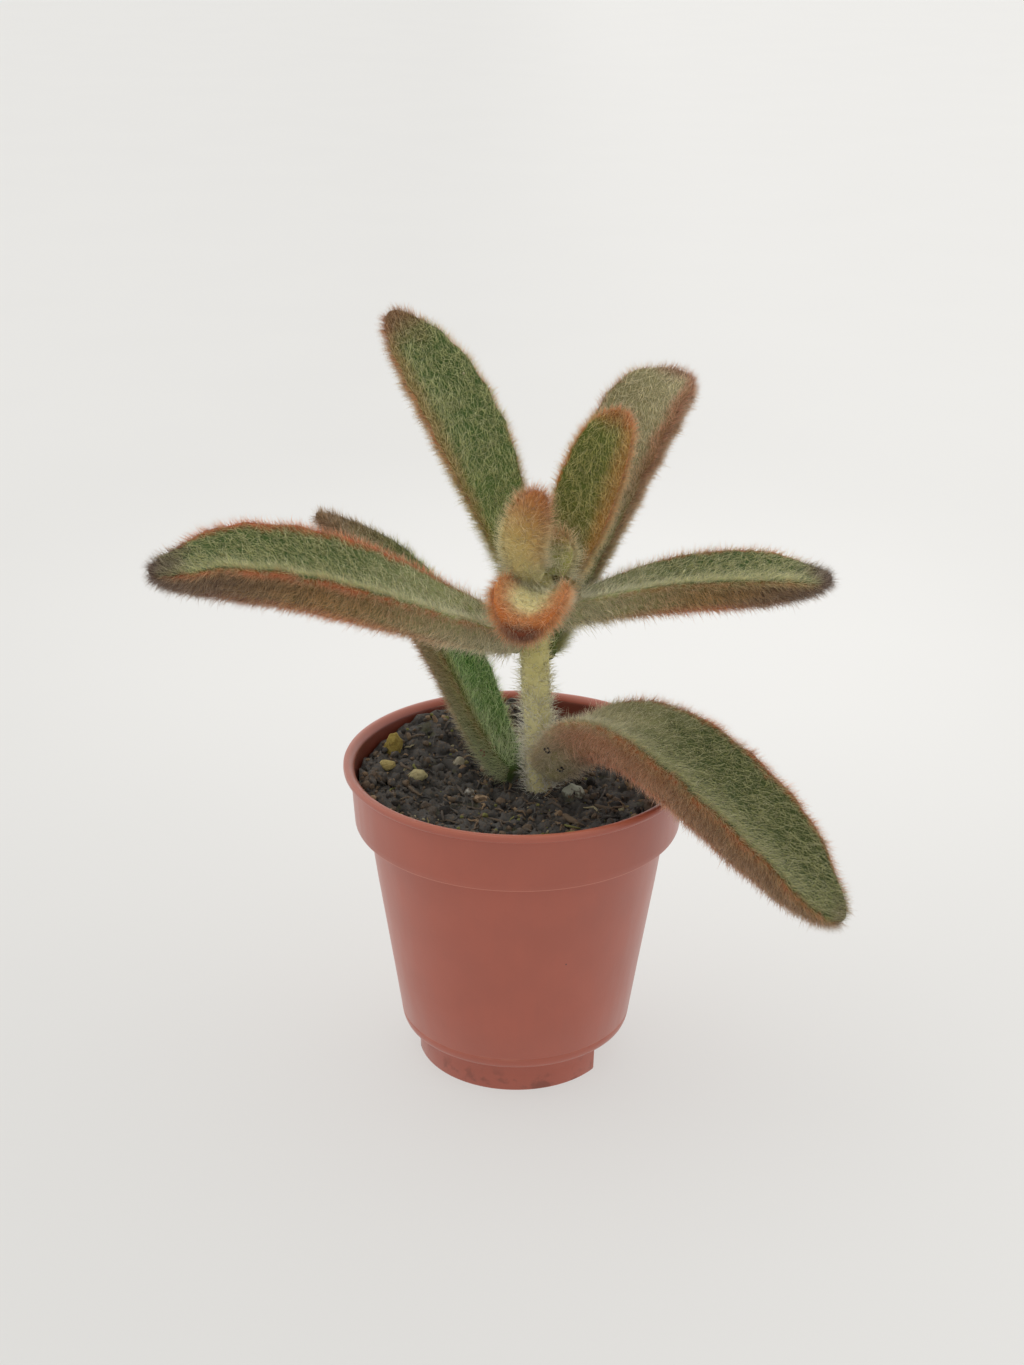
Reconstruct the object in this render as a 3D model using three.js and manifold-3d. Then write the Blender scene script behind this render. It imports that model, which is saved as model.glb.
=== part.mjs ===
// A panda plant (Kalanchoe tomentosa) in a small plastic nursery pot.
// One stem carries ten thick, boat-shaped leaves: two low down by the soil, four long ones
// higher up, and four young ones crowded round the tip. The stem stands in a plain hole in the
// soil, and a few perlite grains and a bark chip lie bedded in its surface.
// Millimetres, +Z up. The front is -Y and the base of the pot stands on Z = 0. Every shape is
// laid out round the pot's axis, and the whole is then moved so that the centre of its bounding
// box lies over the origin.
import * as THREE from "three";
import { mergeVertices } from "three/addons/utils/BufferGeometryUtils.js";
import Module from "manifold-3d";

const wasm = await Module();
wasm.setup();

// ---- driving dimensions ----------------------------------------------------------------

const CLEARANCE = 0.3; // between a piece and what it is seated on

const POT = {
  height: 51.4,
  lipRadius: 27.5,
  lipInnerRadius: 26.5,
  lipThickness: 1.1,
  bandTopRadius: 26.5,
  bandBottomRadius: 25.8,
  bandHeight: 10,
  bodyTopRadius: 23.7,
  bodyBottomRadius: 18.6,
  wall: 0.7,
  floor: 1.3,
  footRadius: 16,
  footHeight: 5.7,
  footWall: 1.4,
  lipBevel: 0.6, // how far the lip slopes down to the inner wall
  sides: 48,
};
const STEP = POT.height - POT.bandHeight; // the band overhangs the body below this height
const INNER_STEP = { from: STEP + 0.3, to: STEP + 1.3 }; // where the inner wall steps out
const FLOOR_TOP = POT.footHeight + POT.floor;
const FOOT_GAP = { span: 50, bearings: [78, 258] }; // degrees from the front, towards +X
const DRAIN_HOLE = { radius: 2.2, ringRadius: 9.5, count: 4, sides: 8 };

const SOIL = {
  middle: 46,
  rise: 1.3, // at the wall, where watering has left it higher
  mounds: [
    { x: -14, y: 18, height: 3.1, spread: 9 },
    { x: -1, y: 22.5, height: 2.4, spread: 3.4 },
    { x: -23, y: 2, height: 1.5, spread: 8 },
  ],
  rings: 12,
  sectors: 42,
  crumb: 0.42,
  lumps: 46,
  seed: 7,
};

const STEM = {
  spine: [
    [3.2, 0.2, 37.5],
    [3.2, 0.2, 52.5],
    [2.5, 0.3, 68],
    [3.1, 0.4, 83],
  ],
  radius: 2.3,
  crownRadius: 2.5,
  dome: 0.08, // the share of its length that rounds off to the tip
  rings: 18,
  sides: 16,
};

// Each leaf's spine passes through four points, at 0, 1/3, 2/3 and 1 of its length. face is the
// way that the upper side looks, near the stem and at the tip. width is the chord between the
// margins, depth the thickness below it, cup how far the margins stand above the middle, neck
// the width at the stem as a share of the whole, widest where along it the leaf is broadest,
// and scallops how many low notched waves its margins have towards the tip.
const LEAVES = {
  leaf_left: {
    spine: [[0.5, -0.5, 72.5], [-16.5, -6, 80], [-34, -10.5, 86.5], [-54, -13.5, 87]],
    face: [[0.1, -0.2, 1], [0.1, -0.15, 1]],
    width: 15.4, depth: 6.7, cup: 2.8, neck: 0.32, widest: 0.57, scallops: 4,
  },
  leaf_right: {
    spine: [[4.5, 0.5, 76], [19.5, 3, 79], [32.5, 4.5, 80.2], [48.5, 6, 80]],
    face: [[-0.1, 0.1, 1], [-0.05, -0.15, 1]],
    width: 12.5, depth: 5.3, cup: 1.7, neck: 0.34, widest: 0.58, scallops: 0,
  },
  leaf_back_left: {
    spine: [[2.3, 2.6, 77], [-4.5, 11, 92.5], [-11, 20, 104], [-21, 28, 116]],
    face: [[0.3, -0.8, 0.5], [0.35, -0.85, 0.45]],
    width: 11.6, depth: 4.4, cup: 1.2, neck: 0.38, widest: 0.58, scallops: 4,
  },
  leaf_back_right: {
    spine: [[3.5, 2.8, 68.5], [8.6, 11, 81], [17, 18.5, 97.6], [25.6, 26, 107.2]],
    face: [[-0.35, -0.8, 0.55], [-0.6, -0.7, 0.35]],
    width: 13.4, depth: 5.4, cup: 2.4, neck: 0.36, widest: 0.65, scallops: 4,
  },
  leaf_right_inner: {
    spine: [[5.5, 1.6, 80], [8.5, 3.4, 88], [11.5, 5.6, 97], [15.5, 8.5, 105.5]],
    face: [[-0.25, -0.9, 0.3], [-0.4, -0.9, 0.25]],
    width: 9.4, depth: 4, cup: 1.3, neck: 0.45, widest: 0.56, scallops: 0, young: true,
  },
  leaf_front: {
    spine: [[2.9, -1.6, 78.3], [2.3, -6.4, 80.6], [0.8, -11.2, 80.2], [0.2, -16, 78.7]],
    face: [[0.05, 0.1, 1], [0.2, 0, 1]],
    width: 10.4, depth: 4.4, cup: 2.4, neck: 0.5, widest: 0.5, scallops: 0, young: true,
  },
  leaf_bud_front: {
    spine: [[2.2, -1.2, 83], [0.4, -3, 87], [1.2, -3.6, 92], [3, -2.6, 96]],
    face: [[0.25, 1, 0.15], [0.3, 1, -0.1]],
    width: 6, depth: 3.5, cup: 0.7, neck: 0.7, widest: 0.46, scallops: 0, young: true,
  },
  leaf_bud_back: {
    spine: [[4.6, -0.5, 82.4], [5, -0.2, 84.4], [5.4, -0.1, 86.4], [5.3, -0.3, 88.8]],
    face: [[-0.25, -0.95, 0.25], [-0.3, -0.95, 0.2]],
    width: 5.9, depth: 2.4, cup: 0.7, neck: 0.75, widest: 0.4, scallops: 0, young: true,
  },
  leaf_low_back: {
    spine: [[0.1, 0.8, 49.3], [-6.4, 8, 57.2], [-15, 17, 70.5], [-33.2, 25, 83.5]],
    face: [[0.7, -0.55, 0.4], [0.5, -0.1, 0.85]],
    width: 10.2, depth: 5.6, cup: 1.3, neck: 0.42, widest: 0.6, scallops: 0,
  },
  leaf_low_front: {
    spine: [[4.9, -0.6, 50.6], [15.7, -9.5, 60.7], [30.4, -20.5, 54.8], [48.4, -28.5, 39]],
    face: [[-0.1, 0.2, 1], [0.4, -0.4, 0.85]],
    width: 17, depth: 7.2, cup: 2.7, neck: 0.4, widest: 0.6, scallops: 4,
  },
};
const LEAF_RINGS = 26;
const LEAF_SIDES = 16;
const LEAF_UPPER_SHARE = 0.3; // share of the depth that lies above the margins' edges
const LEAF_DROP = 0.14; // how far the skin is let down in the middle, as a share of the depth
const LEAF_SQUARENESS = 2.4; // 2 gives an oval section, more gives thicker margins
const SCALLOPS_FROM = 0.5; // where along the leaf they begin
const SCALLOPS_TO = 0.97;
const SCALLOP_HEIGHT = 0.03; // as a share of the half width
const CUP_FADE = 0.18; // the last share of the length, over which the cup dies away

// Grains bedded in the soil: where each lies, its half sizes and its turn about Z in degrees.
const GRAINS = {
  perlite_1: { at: [8.7, -2.2], size: [1.75, 1.3, 1.3], turn: 20, finish: "perlite" },
  perlite_2: { at: [-15.8, 0.6], size: [1.6, 0.9, 0.9], turn: 5, finish: "perlite" },
  perlite_3: { at: [-7.6, -2.8], size: [0.9, 0.8, 0.8], turn: 40, finish: "perlite" },
  perlite_4: { at: [-20.8, 2.6], size: [1.4, 1, 0.9], turn: -10, finish: "perlite" },
  perlite_5: { at: [-9.6, 7.4], size: [0.8, 0.9, 0.9], turn: 70, finish: "perlite" },
  bark_chip_1: { at: [-20.2, 9], size: [1.5, 1.3, 2.2], turn: 30, finish: "bark" },
  bark_chip_2: { at: [-5.7, -4.6], size: [1.2, 0.8, 0.7], turn: -25, finish: "bark" },
};
const GRAIN_SUNK = 0.32; // share of its height below the soil
const GRAIN_ROUGHNESS = 0.05;
const GRAIN_WAVES = 5;

const FINISHES = {
  pot: { color: 0xa05845, roughness: 0.55 },
  soil: { color: 0x2a2420, roughness: 0.95 },
  stem: { color: 0x9a9560, roughness: 0.9 },
  leaf: { color: 0x5b6b46, roughness: 0.85 },
  youngLeaf: { color: 0x8a7444, roughness: 0.9 },
  perlite: { color: 0xd8d2c0, roughness: 0.9 },
  bark: { color: 0xa8924f, roughness: 0.9 },
};

// ---- geometry helpers ------------------------------------------------------------------

// Repeatable draws from 0 to 1.
function seededRandom(seed) {
  let state = seed >>> 0;
  return () => {
    state = (state + 0x6d2b79f5) >>> 0;
    let mixed = Math.imul(state ^ (state >>> 15), state | 1);
    mixed ^= mixed + Math.imul(mixed ^ (mixed >>> 7), mixed | 61);
    return ((mixed ^ (mixed >>> 14)) >>> 0) / 4294967296;
  };
}

// A solid from a three.js geometry, with its shared vertices merged.
function solidOf(geometry) {
  const bare = new THREE.BufferGeometry();
  bare.setAttribute("position", geometry.getAttribute("position"));
  bare.setIndex(geometry.getIndex());
  const merged = mergeVertices(bare, 1e-4);
  return new wasm.Manifold(
    new wasm.Mesh({
      numProp: 3,
      vertProperties: merged.getAttribute("position").array,
      triVerts: new Uint32Array(merged.getIndex().array),
    }),
  );
}

function geometryOf(solid) {
  const mesh = solid.getMesh();
  const geometry = new THREE.BufferGeometry();
  geometry.setAttribute("position", new THREE.BufferAttribute(mesh.vertProperties, 3));
  geometry.setIndex(new THREE.BufferAttribute(mesh.triVerts, 1));
  geometry.computeVertexNormals();
  return geometry;
}

// The largest body of a solid, which drops any loose scrap that a cut leaves.
function wholeOf(solid) {
  return solid.decompose().sort((a, b) => b.volume() - a.volume())[0];
}

// The cubic that passes through four points at t = 0, 1/3, 2/3 and 1.
class SpineCurve extends THREE.Curve {
  constructor(points) {
    super();
    this.points = points.map((p) => new THREE.Vector3(...p));
  }
  getPoint(t, target = new THREE.Vector3()) {
    const [a, b, c] = [t - 1 / 3, t - 2 / 3, t - 1];
    const weights = [-4.5 * a * b * c, 13.5 * t * b * c, -13.5 * t * a * c, 4.5 * t * a * b];
    target.set(0, 0, 0);
    this.points.forEach((p, i) => target.addScaledVector(p, weights[i]));
    return target;
  }
}

// A closed skin over rings of points. The first and last rings are one point each, its poles.
function skin(rings) {
  const positions = [];
  const index = [];
  const starts = rings.map((ring) => {
    const start = positions.length / 3;
    ring.forEach((p) => positions.push(p.x, p.y, p.z));
    return start;
  });
  const sides = rings[1].length;
  for (let i = 0; i + 1 < rings.length; i++) {
    for (let j = 0; j < sides; j++) {
      const k = (j + 1) % sides;
      const [a, b] = [starts[i], starts[i + 1]];
      if (rings[i].length > 1 && rings[i + 1].length > 1) {
        index.push(a + j, a + k, b + k, a + j, b + k, b + j);
      } else if (rings[i].length > 1) {
        index.push(a + j, a + k, b);
      } else {
        index.push(a, b + k, b + j);
      }
    }
  }
  const geometry = new THREE.BufferGeometry();
  geometry.setAttribute("position", new THREE.BufferAttribute(new Float32Array(positions), 3));
  geometry.setIndex(index);
  return geometry;
}

const middleOf = (ring) =>
  ring.reduce((sum, p) => sum.add(p), new THREE.Vector3()).divideScalar(ring.length);

// ---- pot -------------------------------------------------------------------------------

// Where the inner wall stands at height z.
function innerRadius(z) {
  const taper = (POT.bodyTopRadius - POT.bodyBottomRadius) / (STEP - POT.footHeight);
  const rise = Math.min(z, INNER_STEP.from) - POT.footHeight;
  const body = POT.bodyBottomRadius - POT.wall + taper * rise;
  const flare = (POT.bandTopRadius - POT.bandBottomRadius) / POT.bandHeight;
  const band = POT.bandBottomRadius - POT.wall + flare * Math.max(0, z - INNER_STEP.to);
  const share = (z - INNER_STEP.from) / (INNER_STEP.to - INNER_STEP.from);
  return THREE.MathUtils.lerp(body, band, THREE.MathUtils.clamp(share, 0, 1));
}

function potSolid() {
  const lipBottom = POT.height - POT.lipThickness;
  const profile = [
    [0, POT.footHeight],
    [POT.footRadius - POT.footWall, POT.footHeight],
    [POT.footRadius - POT.footWall, 0],
    [POT.footRadius, 0],
    [POT.footRadius, POT.footHeight],
    [POT.bodyBottomRadius, POT.footHeight],
    [POT.bodyTopRadius, STEP],
    [POT.bandBottomRadius, STEP],
    [POT.bandTopRadius, lipBottom],
    [POT.lipRadius, lipBottom],
    [POT.lipRadius, POT.height],
    [POT.lipInnerRadius, POT.height],
    [innerRadius(POT.height), POT.height - POT.lipBevel],
    [innerRadius(INNER_STEP.to), INNER_STEP.to],
    [innerRadius(INNER_STEP.from), INNER_STEP.from],
    [innerRadius(FLOOR_TOP), FLOOR_TOP],
    [0, FLOOR_TOP],
  ];
  const points = profile.map(([r, z]) => new THREE.Vector2(r, z));
  const lathe = new THREE.LatheGeometry(points, POT.sides);
  lathe.rotateX(Math.PI / 2);
  let pot = solidOf(lathe);
  const gapWidth = 2 * POT.footRadius * Math.sin(THREE.MathUtils.degToRad(FOOT_GAP.span / 2));
  for (const bearing of FOOT_GAP.bearings) {
    const gap = new THREE.BoxGeometry(gapWidth, POT.footRadius, 2 * POT.footHeight);
    gap.translate(0, -POT.footRadius, 0);
    gap.rotateZ(THREE.MathUtils.degToRad(bearing));
    pot = pot.subtract(solidOf(gap));
  }
  for (let i = 0; i < DRAIN_HOLE.count; i++) {
    const hole = new THREE.CylinderGeometry(
      DRAIN_HOLE.radius, DRAIN_HOLE.radius, 4 * POT.floor, DRAIN_HOLE.sides);
    hole.rotateX(Math.PI / 2);
    hole.translate(DRAIN_HOLE.ringRadius, 0, POT.footHeight + POT.floor / 2);
    hole.rotateZ((2 * Math.PI * (i + 0.5)) / DRAIN_HOLE.count);
    pot = pot.subtract(solidOf(hole));
  }
  return pot;
}

// ---- soil and what lies in it ----------------------------------------------------------

// The soil's surface: a shallow dish, heaped up at the back and the left, with seeded lumps.
const soilLumps = (() => {
  const random = seededRandom(SOIL.seed);
  const lumps = Array.from({ length: SOIL.lumps }, () => {
    const radius = innerRadius(SOIL.middle) * Math.sqrt(0.12 + 0.88 * random());
    const angle = 2 * Math.PI * random();
    return {
      x: radius * Math.cos(angle),
      y: radius * Math.sin(angle),
      height: SOIL.crumb * (0.3 + 1.4 * random()) * (random() < 0.35 ? -1 : 1),
      spread: 1.4 + 1.8 * random(),
    };
  });
  return [...SOIL.mounds, ...lumps];
})();

function soilHeight(x, y) {
  const share = Math.hypot(x, y) / innerRadius(SOIL.middle);
  const dish = SOIL.middle + SOIL.rise * share ** 3;
  return soilLumps.reduce((height, lump) => {
    const away = ((x - lump.x) ** 2 + (y - lump.y) ** 2) / lump.spread ** 2;
    return height + lump.height * Math.exp(-away);
  }, dish);
}

function soilSolid() {
  const ring = (radius, height) =>
    Array.from({ length: SOIL.sectors }, (_, j) => {
      const angle = (2 * Math.PI * j) / SOIL.sectors;
      const [x, y] = [radius * Math.cos(angle), radius * Math.sin(angle)];
      return new THREE.Vector3(x, y, height ?? soilHeight(x, y));
    });
  const bottom = FLOOR_TOP + CLEARANCE;
  const edge = innerRadius(SOIL.middle) - 1.2 * CLEARANCE;
  const rings = [
    [new THREE.Vector3(0, 0, bottom)],
    ring(innerRadius(bottom) - CLEARANCE, bottom),
    ring(innerRadius(INNER_STEP.from) - 1.4 * CLEARANCE, INNER_STEP.from + CLEARANCE),
    ring(innerRadius(INNER_STEP.to) - 1.2 * CLEARANCE, INNER_STEP.to + 1.4 * CLEARANCE),
  ];
  for (let i = SOIL.rings; i > 0; i--) rings.push(ring((edge * i) / SOIL.rings));
  rings.push([new THREE.Vector3(0, 0, soilHeight(0, 0))]);
  return solidOf(skin(rings));
}

// A rough, squashed pebble, larger by grow all round.
function grainSolid({ at, size, turn }, seed, grow = 0) {
  const random = seededRandom(seed);
  const waves = Array.from({ length: GRAIN_WAVES }, () => ({
    way: new THREE.Vector3(random() - 0.5, random() - 0.5, random() - 0.5).normalize(),
    phase: 2 * Math.PI * random(),
  }));
  const pebble = new THREE.IcosahedronGeometry(1, 2);
  const position = pebble.getAttribute("position");
  const p = new THREE.Vector3();
  for (let i = 0; i < position.count; i++) {
    p.fromBufferAttribute(position, i);
    const rough = waves.reduce((sum, w) => sum + Math.sin(3 * p.dot(w.way) + w.phase), 0);
    const radius = 1 + GRAIN_ROUGHNESS * rough;
    position.setXYZ(
      i,
      p.x * (size[0] * radius + grow),
      p.y * (size[1] * radius + grow),
      p.z * (size[2] * radius + grow),
    );
  }
  pebble.rotateZ(THREE.MathUtils.degToRad(turn));
  pebble.translate(at[0], at[1], soilHeight(...at) + size[2] * (1 - 2 * GRAIN_SUNK));
  return solidOf(pebble);
}

// ---- stem ------------------------------------------------------------------------------

// The stem, larger by grow all round, with a domed tip.
function stemSolid(grow = 0) {
  const spine = new SpineCurve(STEM.spine);
  const end = (t, rise) => [spine.getPoint(t).add(new THREE.Vector3(0, 0, rise))];
  const ring = (t) => {
    const centre = spine.getPoint(t);
    const dome = Math.sqrt(1 - Math.max(0, 1 - (1 - t) / STEM.dome) ** 2);
    const radius = (THREE.MathUtils.lerp(STEM.radius, STEM.crownRadius, t ** 3) + grow) * dome;
    centre.z += grow * Math.sqrt(1 - dome ** 2);
    return Array.from({ length: STEM.sides }, (_, j) => {
      const angle = (2 * Math.PI * j) / STEM.sides;
      const around = new THREE.Vector3(radius * Math.cos(angle), radius * Math.sin(angle), 0);
      return around.add(centre);
    });
  };
  const rings = Array.from({ length: STEM.rings }, (_, i) => ring(i / STEM.rings));
  rings[0].forEach((p) => p.setZ(p.z - grow));
  return solidOf(skin([end(0, -grow), ...rings, end(1, grow)]));
}

// ---- leaves ----------------------------------------------------------------------------

// How wide the leaf is at t, as a share of its full width: a narrow neck, a swelling blade
// and a blunt tip.
function breadth({ neck, widest }, t) {
  if (t <= widest) return neck + (1 - neck) * Math.sin((Math.PI / 2) * (t / widest)) ** 1.25;
  return (1 - ((t - widest) / (1 - widest)) ** 2.6) ** 0.55;
}

// How thick it is at t, as a share of its full depth.
function fullness({ neck, widest }, t) {
  const root = Math.min(1, neck + 0.25);
  if (t <= widest) return root + (1 - root) * Math.sin((Math.PI / 2) * (t / widest));
  return (1 - ((t - widest) / (1 - widest)) ** 3.2) ** 0.55;
}

// How far the margin waves in and out at t, as a share of the half width.
function scallop({ scallops }, t) {
  if (t < SCALLOPS_FROM || t > SCALLOPS_TO) return 0;
  const run = (t - SCALLOPS_FROM) / (SCALLOPS_TO - SCALLOPS_FROM);
  return SCALLOP_HEIGHT * Math.sin(2 * Math.PI * scallops * run);
}

// Turns the cosine or sine that draws an oval into one that draws a squarer section.
function squared(c) {
  return Math.sign(c) * Math.abs(c) ** (2 / LEAF_SQUARENESS);
}

function leafSolid(leaf) {
  const spine = new SpineCurve(leaf.spine);
  const [faceAtStem, faceAtTip] = leaf.face.map((f) => new THREE.Vector3(...f).normalize());
  const rings = [];
  for (let i = 0; i < LEAF_RINGS; i++) {
    const t = 1 - (1 - i / LEAF_RINGS) ** 1.35; // closer together towards the tip
    const centre = spine.getPoint(t);
    const along = spine.getTangent(t);
    const up = faceAtStem.clone().lerp(faceAtTip, t);
    up.addScaledVector(along, -up.dot(along)).normalize();
    const across = new THREE.Vector3().crossVectors(along, up);
    const share = breadth(leaf, t);
    const half = (leaf.width / 2) * share * (1 + scallop(leaf, t));
    const depth = leaf.depth * fullness(leaf, t);
    const drop = LEAF_DROP * depth;
    const lift = leaf.cup * share * THREE.MathUtils.smoothstep(1 - t, 0, CUP_FADE) + drop;
    rings.push(
      Array.from({ length: LEAF_SIDES }, (_, j) => {
        const angle = (2 * Math.PI * j) / LEAF_SIDES;
        const [x, y] = [squared(Math.cos(angle)), squared(Math.sin(angle))];
        const bulge = depth * (y > 0 ? LEAF_UPPER_SHARE : 1 - LEAF_UPPER_SHARE);
        const height = lift * x * x + y * bulge - drop;
        return centre.clone().addScaledVector(across, -half * x).addScaledVector(up, height);
      }),
    );
  }
  rings.unshift([middleOf(rings[0])]);
  rings.push([spine.getPoint(1)]);
  return solidOf(skin(rings));
}

// ---- assembly --------------------------------------------------------------------------

const plant = new THREE.Group();

function add(name, solid, finish) {
  const mesh = new THREE.Mesh(geometryOf(solid), new THREE.MeshStandardMaterial(finish));
  mesh.name = name;
  plant.add(mesh);
}

add("pot", potSolid(), FINISHES.pot);
add("stem", stemSolid(), FINISHES.stem);

const stemSeat = stemSolid(CLEARANCE);
let soil = soilSolid().subtract(stemSeat);
Object.entries(GRAINS).forEach(([name, grain], i) => {
  soil = soil.subtract(grainSolid(grain, i + 1, CLEARANCE));
  add(name, grainSolid(grain, i + 1), FINISHES[grain.finish]);
});
add("soil", wholeOf(soil), FINISHES.soil);

for (const [name, leaf] of Object.entries(LEAVES)) {
  const solid = wholeOf(leafSolid(leaf).subtract(stemSeat));
  add(name, solid, leaf.young ? FINISHES.youngLeaf : FINISHES.leaf);
}

const middle = new THREE.Box3().setFromObject(plant).getCenter(new THREE.Vector3());
plant.position.set(-middle.x, -middle.y, 0);

export default plant;
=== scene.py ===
"""A panda plant in a small plastic nursery pot, with its fur and soil, on a pale floor.

Shapes are laid out in millimetres round the pot's axis, +Z up and the front at -Y, and are put
into meshes in metres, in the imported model's frame.
"""

import math

import bpy
import numpy as np
from bpy.props import FloatProperty, FloatVectorProperty, IntProperty, PointerProperty
from mathutils import Matrix, Vector


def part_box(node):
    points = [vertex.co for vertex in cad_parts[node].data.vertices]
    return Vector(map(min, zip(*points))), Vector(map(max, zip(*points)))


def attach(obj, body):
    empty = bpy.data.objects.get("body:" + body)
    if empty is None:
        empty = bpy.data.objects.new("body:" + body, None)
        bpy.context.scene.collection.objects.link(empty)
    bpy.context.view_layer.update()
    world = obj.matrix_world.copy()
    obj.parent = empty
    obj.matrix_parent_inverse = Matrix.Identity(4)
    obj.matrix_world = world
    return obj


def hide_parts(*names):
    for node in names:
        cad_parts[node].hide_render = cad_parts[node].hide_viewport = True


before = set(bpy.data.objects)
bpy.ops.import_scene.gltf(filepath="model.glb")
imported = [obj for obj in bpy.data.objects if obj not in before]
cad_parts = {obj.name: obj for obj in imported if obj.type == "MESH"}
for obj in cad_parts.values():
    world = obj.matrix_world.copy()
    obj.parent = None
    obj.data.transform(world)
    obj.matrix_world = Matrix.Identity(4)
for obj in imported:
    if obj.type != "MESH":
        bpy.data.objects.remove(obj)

bl_info = {
    "name": "Panda plant",
    "version": (1, 0, 0),
    "blender": (4, 5, 0),
    "location": "3D View > Sidebar > Plant",
    "description": "Builds a furry panda plant in its nursery pot",
    "category": "Object",
}

MM = 0.001
AXIS = np.array((sum(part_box("pot"), Vector()) / 2)[:2] + (0,)) / MM  # the pot's, in the frame
BAKE_MAP = "OFBake"
SEEDS = {
    "coarse": 21, "middling": 22, "fine": 23, "crumbs": 41, "grit": 43, "fibres": 57,
    "caught": 59, "stem": 90, "leaves": 100, "leaf_fur": 300, "stem_fur": 500,
}

# ---- driving dimensions, in millimetres ------------------------------------------------

# The pot's section as radius and height, from the middle of its underside, up the outside,
# over the lip and down the inside to the middle of its floor.
POT_SECTION = [
    (8, 5.7), (13.6, 5.7), (14.4, 5.6), (14.6, 5.2), (14.6, 0.5), (14.75, 0.12), (15.1, 0),
    (15.6, 0), (15.9, 0.1), (16, 0.4), (16.05, 3), (16.1, 5.1), (16.25, 5.5), (16.6, 5.68),
    (17.5, 5.7), (18.1, 5.8), (18.42, 6.05), (18.6, 6.5), (18.78, 7.5), (18.74, 7.6),
    (18.8, 7.75), (20, 16), (21.2, 24), (22.4, 32), (23.45, 39.7), (23.66, 41.1),
    (23.74, 41.34), (23.95, 41.4), (25.5, 41.4), (25.74, 41.46), (25.82, 41.66), (25.88, 42.6),
    (26.15, 46.5), (26.36, 49.5), (26.4, 49.95), (26.52, 50.14), (26.9, 50.2), (27.3, 50.26),
    (27.46, 50.42), (27.5, 50.7), (27.48, 51.1), (27.38, 51.3), (27.15, 51.39), (26.85, 51.4),
    (26.6, 51.36), (26.35, 51.2), (26, 50.9), (25.78, 50.6), (25.7, 50.2), (25.5, 48),
    (25.33, 46), (25.12, 42.95), (25, 42.7), (24.7, 42.5), (23.3, 41.85), (23.05, 41.55),
    (21.4, 30.2), (19.7, 18.3), (18.25, 7.8), (17.8, 7.15), (17.2, 7), (8, 7),
]
FOOT_GAP = {"width": 13.5, "height": 5.6, "radius": 16, "bearings": (78, 258)}
DRAIN_HOLE = {"radius": 2.2, "ring": 9.5, "count": 4, "height": 6.3, "depth": 6}
POT_MARKS = {"parting": 41.42, "seam": 7.58}  # heights of the mould's lines

SOIL = {
    "bottom": 7.3, "middle": 46, "rise": 1.3, "crumb": 0.42, "lumps": 46, "seed": 7,
    "mounds": [(-14, 18, 3.1, 9), (-1, 22.5, 2.4, 3.4), (-23, 2, 1.5, 8)],
}
INNER_WALL = [(7, 18.09), (41.7, 23.04), (42.7, 25.1), (51.4, 25.71)]  # height and radius
SOIL_CLEARANCE = 0.25
# How far from the axis crumbs are strewn and kept, and fibres begin and end.
STREWN = {"crumbs": 24.6, "crumb_edge": 24.9, "fibres": 22.5, "fibre_ends": 23.2}

# Fibres and slivers lying on the soil: where each begins and ends, its thickness and tint.
FIBRES = [
    ((-10.3, 1.2), (-8.3, -2.8), 0.3, 0.55), ((-6.2, -10.5), (-0.7, -12.8), 0.28, 0.62),
    ((-0.4, -4.4), (2.1, -5.5), 0.26, 0.6), ((7, -9.8), (9.3, -13.4), 0.55, 0.8),
    ((-12, -7), (-9, -9.5), 0.4, 0.45), ((-17.5, -1.5), (-15, -4.6), 0.3, 0.7),
    ((12, -6), (15.5, -9), 0.35, 0.72), ((2.4, -9.5), (5.5, -8), 0.3, 0.5),
]
# Gatherings of crumbs: where, how wide, how high and how many.
CLUMPS = [((-22, -2.6), 2.6, 1.6, 46), ((-2, 22.8), 2.4, 2.2, 34), ((-15, 6), 1, 0.9, 8)]

# Crumbs caught in the fur: on which leaf, how far along and round it, how many, their tint.
CAUGHT = [
    ("leaf_low_front", 0.11, 3.45, 9, 0.05), ("leaf_low_front", 0.08, 4.08, 6, 0.05),
    ("leaf_low_back", 0.144, 6.04, 5, 0.9), ("leaf_low_back", 0.14, 0.26, 2, 1),
    ("leaf_back_left", 0.703, 2.17, 1, 1),
]

STEM = {
    "spine": [[3.2, 0.2, 37.5], [3.2, 0.2, 52.5], [2.5, 0.3, 68], [3.1, 0.4, 83]],
    "radius": 2.05, "crown": 2.4, "dome": 0.08,
}

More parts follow.
